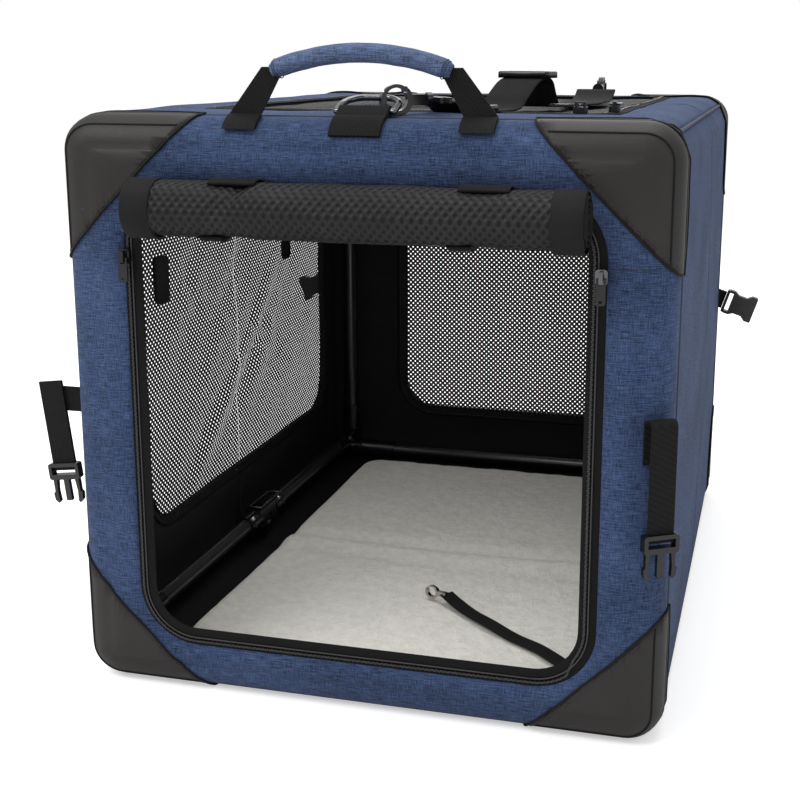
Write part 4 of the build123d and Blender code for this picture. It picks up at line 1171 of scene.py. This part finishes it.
class CARRIER_OT_rolled_door(Maker, bpy.types.Operator):
    """The door's mesh, rolled up and held under its two straps"""
    bl_idname = "carrier.rolled_door"
    bl_label = "Rolled door"

    def make(self, s):
        low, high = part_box("rolled_door")
        low.x, high.x = low.x + 0.0085, high.x - 0.005
        rings, count = [], 72
        span = high.x - low.x
        for i in range(131):
            x = low.x + span * i / 130
            end = min(1.0, min(x - low.x, high.x - x) / 0.004)
            ring = []
            for k in range(count):
                turn = 2 * math.pi * k / count
                r = ROLL_R - 0.0022 * (1 - end) ** 2
                dent = math.exp(-((x + 0.090 - 0.02 * math.sin(turn)) / 0.006) ** 2)
                dent *= max(0, math.cos(turn - 2.0)) * 0.0022
                strap = sum(math.exp(-((x - sx) / 0.013) ** 4) for sx in ROLL_STRAPS) * 0.0011
                r += noise.noise(Vector((x * 22, math.cos(turn) * 1.3, math.sin(turn) * 1.3))) * 0.0012 - dent - strap
                layer = 0.0016 if turn > 4.1 else 0.0
                ring.append(Vector((x, ROLL_Y + r * math.cos(turn), ROLL_Z + (r - layer) * math.sin(turn))))
            rings.append(ring)
        verts, faces = loft(rings)
        body = piece("rolled_door_mesh", verts, faces, FRONT, "black_mesh", finish("spacer"))
        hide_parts("rolled_door")
        bands, spirals = [], []
        for end, way in ((low.x, 1), (high.x, -1)):
            loops = []
            for x, extra in ((0.0, -0.0005), (0.0, 0.0006), (0.0006, 0.0010), (0.0214, 0.0010), (0.0220, 0.0005),
                             (0.0221, -0.0006)):
                loops.append([self.round_roll(end + way * x, ROLL_R + extra, a) for a in angles(count)])
            bands.append(loft(loops, closed=False))
            path = []
            for k in range(150):
                turn = k / 150 * 2 * math.pi * 3.6
                r = 0.0045 + (ROLL_R - 0.0065) * k / 150
                path.append(self.round_roll(end, r, turn))
            edge = [(-0.0007, -0.004), (-0.0007, 0.0008), (0, 0.0013), (0.0007, 0.0008), (0.0007, -0.004)]
            spirals.append(swept(path, edge, (-way, 0, 0)))
            disc = [self.round_roll(end + way * 0.0022, ROLL_R - 0.0004, a) for a in angles(count)[:-1]]
            spirals.append((disc, [tuple(range(count))]))
        piece("rolled_door_end_bands", *merged(bands), FRONT, "black_mesh", finish("binding"))
        piece("rolled_door_layers", *merged(spirals), FRONT, "black_mesh", finish("lining"))
        self.holders(s)

    def round_roll(self, x, radius, turn):
        return Vector((x, ROLL_Y + radius * math.cos(turn), ROLL_Z + radius * math.sin(turn)))

    def holders(self, s):
        """Straps that hold the roll: thin webbing from the panel over its back, and again below it."""
        bands = []
        for x in ROLL_STRAPS:
            over = [Vector((x, -HALF_D - 0.0010, ROLL_Z + 0.012)), Vector((x, -HALF_D - 0.0022, ROLL_Z + 0.0190))]
            for k in range(13):
                turn = math.radians(60 + k * 4.6)
                lift = ROLL_R + 0.0016 * math.cos(math.radians(k * 6.5)) ** 0.5
                over.append(self.round_roll(x, lift, turn))
            bands.append(swept(over, strap_section(0.036, s.web), (0, -0.3, 1)))
            turns = [math.radians(236 + k * 5) for k in range(13)]
            under = [self.round_roll(x - 0.016, ROLL_R + 0.0002, a) for a in turns]
            outwards = [Vector((0, math.cos(a), math.sin(a))) for a in turns]
            bands.append(swept(under, strap_section(0.018, s.web), outwards))
        bands = piece("roll_strap_bands", *merged(bands), FRONT, "black_webbing", finish("tape"))
        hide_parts("door_roll_straps")


class CARRIER_OT_handle(Maker, bpy.types.Operator):
    """Padded sleeve of the carry handle, with its seams, over folded webbing legs"""
    bl_idname = "carrier.handle"
    bl_label = "Carry handle"

    def make(self, s):
        low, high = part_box("handle_grip")
        y = (low.y + high.y) / 2
        half = (high.x - low.x) / 2 - 0.004
        ends_z, rise = low.z + 0.0078, high.z - low.z - 0.0152
        path = []
        for i in range(73):
            t = i / 72 * 2 - 1
            path.append(Vector((t * half, y, ends_z + rise * (1 - t * t))))
        rings = []
        for i, (point, way) in enumerate(zip(path, tangents(path))):
            t = abs(i / 72 * 2 - 1)
            side = Vector((0, 1, 0))
            up = side.cross(way).normalized()
            up = up if up.z > 0 else -up
            close = max(0.0, (t - 0.90) / 0.10)
            wide = 0.0096 * (1 - 0.42 * close ** 1.4)
            tall = 0.0074 * (1 - 0.34 * close ** 1.4)
            ring = []
            for k in range(28):
                a = 2 * math.pi * k / 28
                ruck = 1 + noise.noise(Vector((point.x * 90, math.cos(a) * 2, math.sin(a) * 2))) * 0.05
                bottom = 1 - 0.14 * max(0, -math.sin(a)) ** 6
                ring.append(point + side * (wide * math.cos(a) * ruck) + up * (tall * math.sin(a) * ruck * bottom))
            rings.append(ring)
        verts, faces = loft(rings)
        n = 28
        faces += [tuple(range(n)), tuple(range(len(verts) - n, len(verts)))]
        grip = piece("handle_grip_sleeve", verts, faces, "handle", "grip_fabric", finish("grip"))
        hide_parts("handle_grip")
        rows = []
        for t in (-0.93, -0.955, 0.93, 0.955):
            point = Vector((t * half, y, ends_z + rise * (1 - t * t)))
            close = (abs(t) - 0.90) / 0.10
            wide, tall = 0.0097 * (1 - 0.42 * close ** 1.4), 0.0076 * (1 - 0.34 * close ** 1.4)
            lean = Vector((1, 0, -2 * rise * t / half)).normalized()
            up = Vector((0, 1, 0)).cross(lean).normalized()
            loop = [point + Vector((0, wide * math.cos(a), 0)) + up * (tall * math.sin(a))
                    for a in angles(24)]
            rows.append(swept(loop, circle(0.0004, 6), lean))
        piece("handle_stitching", *merged(rows), "handle", "grip_fabric", finish("blue thread"))
        trimmed("handle_legs", "handle", "black_webbing", finish("web"),
                lambda p: Vector((p.x, p.y, p.z - 0.0014)) if p.z < 0.459 else p)


class CARRIER_OT_strap(Maker, bpy.types.Operator):
    """The shoulder strap in its two halves, with slide adjusters, and the webbing tabs with their rings and hooks"""
    bl_idname = "carrier.strap"
    bl_label = "Shoulder strap"

    def make(self, s):
        heading = math.radians(76)
        along = Vector((math.cos(heading), math.sin(heading), 0))
        start = Vector((0.0484, -0.2525, 0))
        front = smooth_path([start + along * d + Vector((0, 0, h)) for d, h in STRAP_LINE], PATH_STEP)
        turn = [Vector((0.1114, 0.0004, 0.4570)), Vector((0.1116, 0.030, 0.4578)), Vector((0.1114, 0.062, 0.4572)),
                Vector((0.1114, 0.086, 0.4610)), Vector((0.1114, 0.1010, 0.4668))]
        for name, path, body in (("front", front, FRONT), ("rear", smooth_path(turn, PATH_STEP), REAR)):
            strap = piece(f"shoulder_strap_{name}_web", *swept(path, strap_section(s.strap, s.web), (0, 0, 1)), body,
                          "black_webbing", finish("strap"))
            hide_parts(f"shoulder_strap_{name}")
            soft(strap, body)
        self.adjusters(along, start)
        dress("rear_webbing_tabs", finish("web"), 0.0003)
        trimmed("front_webbing_tabs", FRONT, "black_webbing", finish("web"),
                lambda p: Vector((p.x, p.y, max(p.z, 0.4470))) if abs(p.x) > 0.05 and p.y < -0.3 else p)
        for name in ("front_ring", "rear_ring"):
            dress(name, finish("chrome"), 0)
        for name in ("front_strap_hook", "front_hook_gate", "rear_strap_hook", "rear_hook_gate"):
            dress(name, finish("gloss"), 0.0006)

    def adjusters(self, along, start):
        side = Vector((along.y, -along.x, 0))
        parts = []
        for d, height in ((0.036, 0.4584), (0.146, 0.4824)):
            at = start + along * d + Vector((0, 0, height))
            outer = rounded((0, 0), (0.023, 0.011), 0.003, 5, 4)
            rings = []
            hole = rounded((0, 0), (0.0192, 0.0072), 0.0015, 5, 4)
            for loop, up in ((outer, -0.0012), (outer, 0.0032), (grow_loop(outer, -0.0010), 0.0042),
                             (grow_loop(hole, 0.0008), 0.0042), (hole, 0.0032), (hole, -0.0012), (outer, -0.0012)):
                rings.append([at + side * a + along * b + Vector((0, 0, up)) for a, b in loop])
            parts.append(ringed(rings))
            bar = [at + side * x + Vector((0, 0, 0.0014)) for x in (-0.0205, 0.0205)]
            parts.append(swept(bar, circle(0.0027, 12, 0.8), (0, 0, 1)))
        soft(piece("strap_adjusters", *merged(parts), FRONT, "hook_plastic", finish("gloss")), FRONT)


def grow_loop(loop, by):
    centre = Vector((sum(p[0] for p in loop), sum(p[1] for p in loop))) / len(loop)
    return [tuple(Vector(p) + (Vector(p) - centre).normalized() * by) for p in loop]


class CARRIER_OT_side_straps(Maker, bpy.types.Operator):
    """The side straps that hold the folded carrier shut, and their buckles"""
    bl_idname = "carrier.side_straps"
    bl_label = "Side straps"

    def make(self, s):
        for half, _, _ in HALVES:
            dress(f"{half}_side_straps", finish("web"), 0.0003)
            dress(f"{half}_buckles", finish("gloss"), 0.0006)


class CARRIER_OT_pulls(Maker, bpy.types.Operator):
    """Zip sliders and their pulls"""
    bl_idname = "carrier.pulls"
    bl_label = "Zip pulls"

    def make(self, s):
        for name in ("roof_side_slider", "roof_side_pull", "roof_front_slider", "roof_front_pull"):
            dress(name, finish("gloss"), 0.0003)
        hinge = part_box("right_door_pull")[1].z - 0.0015
        for side, tone, slot in (("left", "gloss", "black_zip"), ("right", "chrome", "pull_metal")):
            low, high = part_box(f"{side}_door_pull")
            middle = (low.x + high.x) / 2
            trimmed(f"{side}_door_slider", f"{side}_door_slider", "black_zip", finish(tone))
            trimmed(f"{side}_door_pull", f"{side}_door_pull", slot, finish("gloss"),
                    lambda p: Vector((middle + (p.x - middle) * PULL_WIDE, p.y, hinge + (p.z - hinge) * PULL_LONG)))


class CARRIER_OT_tether(Maker, bpy.types.Operator):
    """The tether inside, with its snap hook"""
    bl_idname = "carrier.tether"
    bl_label = "Tether"

    def make(self, s):
        turn = math.radians(-40.3)
        way = Vector((math.cos(turn), math.sin(turn), 0))
        side = Vector((way.y, -way.x, 0))
        start = Vector((0.030, -0.147, 0))
        path = smooth_path([start + way * d + side * off + Vector((0, 0, z)) for d, z, off in TETHER_LINE], PATH_STEP)
        strap = piece("tether_strap_web", *swept(path, strap_section(0.0145, 0.0014), (0, 0, 1)), None, "black_webbing",
                      finish("web"))
        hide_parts("tether_strap")
        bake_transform(strap)
        dress("tether_hook", finish("nickel"), 0.0003)
        dress("tether_trigger", finish("nickel"), 0.0002)


class CARRIER_OT_pad(Maker, bpy.types.Operator):
    """The fleece pad: one piece, creased along the fold"""
    bl_idname = "carrier.pad"
    bl_label = "Fleece pad"

    def make(self, s):
        low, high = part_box("pad_front")
        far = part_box("pad_rear")[1]
        half = (high.x - low.x) / 2 + 0.0025
        y0, y1 = low.y + 0.001, far.y - 0.001
        bottom, thick = low.z, high.z - low.z
        mid = (y0 + y1) / 2
        outline = rounded((0, mid), (half, (y1 - y0) / 2), 0.022, 8, 70)
        rings = []
        levels = [(0.0, 0.0012), (0.12, 0.0004), (0.35, 0.0), (0.6, 0.0), (0.82, 0.0022), (0.95, 0.0062), (1.0, 0.0120)]
        for share, inset in levels:
            rings.append([self.at(p, mid, inset, bottom + thick * share, share, s, half) for p in outline])
        last = levels[-1][1]
        for k in range(1, 64):
            t = k / 64
            rings.append([self.at((p[0] * (1 - t), mid + (p[1] - mid) * (1 - t)), mid, last * (1 - t),
                                  bottom + thick, 1.0, s, half) for p in outline])
        verts, faces = ringed(rings)
        base = len(outline)
        faces += [tuple(range(base)), tuple(range(len(verts) - base - 1, len(verts) - 1))]
        pad = piece("fleece_pad", verts, faces, None, "cream_fleece", finish("fleece"))
        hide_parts("pad_front", "pad_rear")
        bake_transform(pad)

    def at(self, p, mid, inset, z, share, s, half):
        x, y = p
        length = math.hypot(x, y - mid) or 1
        x, y = x - x / length * inset, y - (y - mid) / length * inset
        if share > 0.5:
            lump = noise.fractal(Vector((x * 75, y * 75, 1.5)), 1.0, 2.1, 4)
            swell = noise.noise(Vector((x * 9, y * 9, 4.0)))
            bow = y + 0.010 * math.cos(x / half * 1.4)
            crease = math.exp(-(bow / 0.011) ** 2) * 0.0058 - math.exp(-((bow + 0.026) / 0.014) ** 2) * 0.0032
            crease += math.exp(-((bow + 0.050 + x * 0.05) / 0.010) ** 2) * 0.0016
            z += (lump * s.pile * 0.28 + swell * 0.0020 - crease - 0.0010) * (share - 0.5) * 2
        return Vector((x, y, z))


class CARRIER_OT_frame(Maker, bpy.types.Operator):
    """The folding tube frame: tubes, moulded elbows and knuckles, rivets and lock clips"""
    bl_idname = "carrier.frame"
    bl_label = "Folding frame"

    def make(self, s):
        for name in NODES:
            if name.endswith("_tubes"):
                dress(name, finish("tube"), 0)
            elif name.endswith(("_elbows", "_knuckles")):
                dress(name, finish("gloss"), 0.0006)
            elif name.endswith("_lock_clip"):
                dress(name, finish("chrome"), 0)
        self.rivets()

    def rivets(self):
        """Steel rivet heads where the knuckles are riveted, found by looking out from the middle."""
        knuckles = (("base_front", ((-0.080, 0.044), (-0.037, 0.041), (-0.020, 0.021))),
                    ("base_rear", ((0.032, 0.041), (0.020, 0.021), (0.080, 0.044))))
        for side, (body, places) in ((side, knuckle) for side in (-1, 1) for knuckle in knuckles):
            name = f"{body}_knuckles"
            domes = []
            for y, z in places:
                hit, at, _, _ = NODES[name].ray_cast(Vector((0, y, z)), Vector((side, 0, 0)))
                if hit:
                    rings = [[at + Vector((-side * up, r * math.cos(a), r * math.sin(a)))
                              for a in angles(16)]
                             for r, up in ((0.0030, -0.0004), (0.0030, 0.0003), (0.0024, 0.0010), (0.0012, 0.0014),
                                           (0.0001, 0.0015))]
                    domes.append(loft(rings, closed=False))
            if domes:
                piece(f"{name}_rivets_{'left' if side < 0 else 'right'}", *merged(domes), body, "tether_metal",
                      finish("steel"))


class CARRIER_OT_stage(bpy.types.Operator):
    """Ground, backdrop, lights and camera"""
    bl_idname = "carrier.stage"
    bl_label = "Stage"

    def execute(self, context):
        scene = context.scene
        self.ground(scene.carrier_colours.floor)
        self.sky(scene)
        for name, power, width, place, target in LAMPS:
            self.lamp(name, power, width, Vector(place), Vector(target))
        data = bpy.data.cameras.new("camera")
        data.lens, data.sensor_width, data.sensor_fit = LENS, 36, "HORIZONTAL"
        data.shift_x, data.shift_y = SHIFT
        data.clip_start, data.clip_end = 0.05, 60
        camera = bpy.data.objects.new("camera", data)
        scene.collection.objects.link(camera)
        camera.matrix_world = Matrix((*zip(*CAMERA), (0, 0, 0, 1)))
        scene.camera = camera
        scene.view_settings.view_transform = "Standard"
        return {"FINISHED"}

    def ground(self, tint):
        f = Finish("ground")
        diffuse = f.add("ShaderNodeBsdfDiffuse", None, {0: (*tint, 1)}).link()
        glow = f.add("ShaderNodeEmission", None, {0: (1, 1, 1, 1), 1: GROUND_GLOW}).link()
        both = f.add("ShaderNodeAddShader", None, {0: diffuse, 1: glow}).link()
        seen = f.add("ShaderNodeLightPath").link("Is Camera Ray")
        mixed = f.add("ShaderNodeMixShader", None, {0: seen, 1: diffuse, 2: both}).link()
        mesh = bpy.data.meshes.new("ground")
        mesh.from_pydata([(-30, -30, 0), (30, -30, 0), (30, 30, 0), (-30, 30, 0)], [], [(0, 1, 2, 3)])
        mesh.materials.append(f.finished(mixed))
        ground = bpy.data.objects.new("ground", mesh)
        ground.location.z = CAD_BOX[0].z - 0.0002
        bpy.context.scene.collection.objects.link(ground)

    def sky(self, scene):
        f = Finish("sky", "worlds", "ShaderNodeOutputWorld")
        glows = {slot: f.add("ShaderNodeBackground", None, {0: (1, 1, 1, 1), 1: strength}).link()
                 for slot, strength in ((1, SKY_LIGHT), (2, 1.0))}
        seen = f.add("ShaderNodeLightPath").link("Is Camera Ray")
        scene.world = f.finished(f.add("ShaderNodeMixShader", None, {0: seen, **glows}).link())

    def lamp(self, name, power, width, place, target):
        data = bpy.data.lights.new(name, "AREA")
        data.energy, data.size = power, width
        lamp = bpy.data.objects.new(name, data)
        lamp.location = place
        lamp.rotation_euler = (target - place).to_track_quat("-Z", "Y").to_euler()
        bpy.context.scene.collection.objects.link(lamp)


# The front strap's line: along it and height.
STRAP_LINE = ((0.004, 0.4654), (0.020, 0.4577), (0.050, 0.4572), (0.092, 0.4580), (0.110, 0.4680), (0.128, 0.4778),
              (0.146, 0.4812), (0.156, 0.4780), (0.162, 0.4690), (0.170, 0.4590), (0.186, 0.4572), (0.2600, 0.4570))
# The tether's line: along it, height and sideways.
TETHER_LINE = ((-0.0075, 0.0290, 0), (0.006, 0.0262, 0), (0.030, 0.0248, 0.0015), (0.060, 0.0262, 0.0030),
               (0.090, 0.0246, 0.0012), (0.120, 0.0254, -0.0016), (0.150, 0.0246, -0.0012), (0.172, 0.0240, 0),
               (0.186, 0.0150, 0), (0.194, 0.0066, 0), (0.212, 0.0058, 0))
# Name, power in watts, width, place and target of each lamp.
LAMPS = (("key", 34, 1.4, (-1.2, -1.5, 2.1), (0, 0, 0.22)), ("fill", 5.5, 1.8, (1.8, -1.3, 1.1), (0, 0, 0.22)),
         ("top", 20, 1.4, (0.1, 0.2, 2.2), (0, 0, 0.22)), ("back", 10, 1.6, (-0.4, 2.2, 1.4), (0, 0, 0.22)),
         ("cabin", 0.62, 0.18, (0.02, -0.165, 0.425), (0, -0.20, 0)))
SKY_LIGHT, GROUND_GLOW = 0.63, 0.44
LENS, SHIFT = 59.07, (-0.0448, -0.0590)
# Right, up and back of the camera, and its place.
CAMERA = ((0.96678046, 0.25559144, 0.00292637), (-0.0590366, 0.21213889, 0.97545465),
          (0.24869706, -0.94322325, 0.22018098), (0.294722, -1.2078, 0.498226))
MAKERS = (CARRIER_OT_caps, CARRIER_OT_walls, CARRIER_OT_cover_strips, CARRIER_OT_screens, CARRIER_OT_door_zip,
          CARRIER_OT_rolled_door, CARRIER_OT_handle, CARRIER_OT_strap, CARRIER_OT_side_straps, CARRIER_OT_pulls,
          CARRIER_OT_tether, CARRIER_OT_pad, CARRIER_OT_frame, CARRIER_OT_stage)


class CARRIER_PT_panel(bpy.types.Panel):
    """Every maker, in the order it runs"""
    bl_idname = "CARRIER_PT_panel"
    bl_label = "Pet carrier"
    bl_space_type = "VIEW_3D"
    bl_region_type = "UI"
    bl_category = "Carrier"

    def draw(self, context):
        layout = self.layout
        for group in (context.scene.carrier_sizes, context.scene.carrier_colours):
            box = layout.box()
            for key in group.__annotations__:
                box.prop(group, key)
        for maker in MAKERS:
            layout.operator(maker.bl_idname)


CLASSES = (CarrierSizes, CarrierColours, *MAKERS, CARRIER_PT_panel)


def register():
    for cls in CLASSES:
        bpy.utils.register_class(cls)
    bpy.types.Scene.carrier_sizes = PointerProperty(type=CarrierSizes)
    bpy.types.Scene.carrier_colours = PointerProperty(type=CarrierColours)


def unregister():
    del bpy.types.Scene.carrier_colours
    del bpy.types.Scene.carrier_sizes
    for cls in reversed(CLASSES):
        bpy.utils.unregister_class(cls)


def main():
    register()
    for maker in MAKERS:
        group, name = maker.bl_idname.split(".")
        getattr(getattr(bpy.ops, group), name)()
    bpy.context.view_layer.update()


if __name__ == "__main__":
    main()
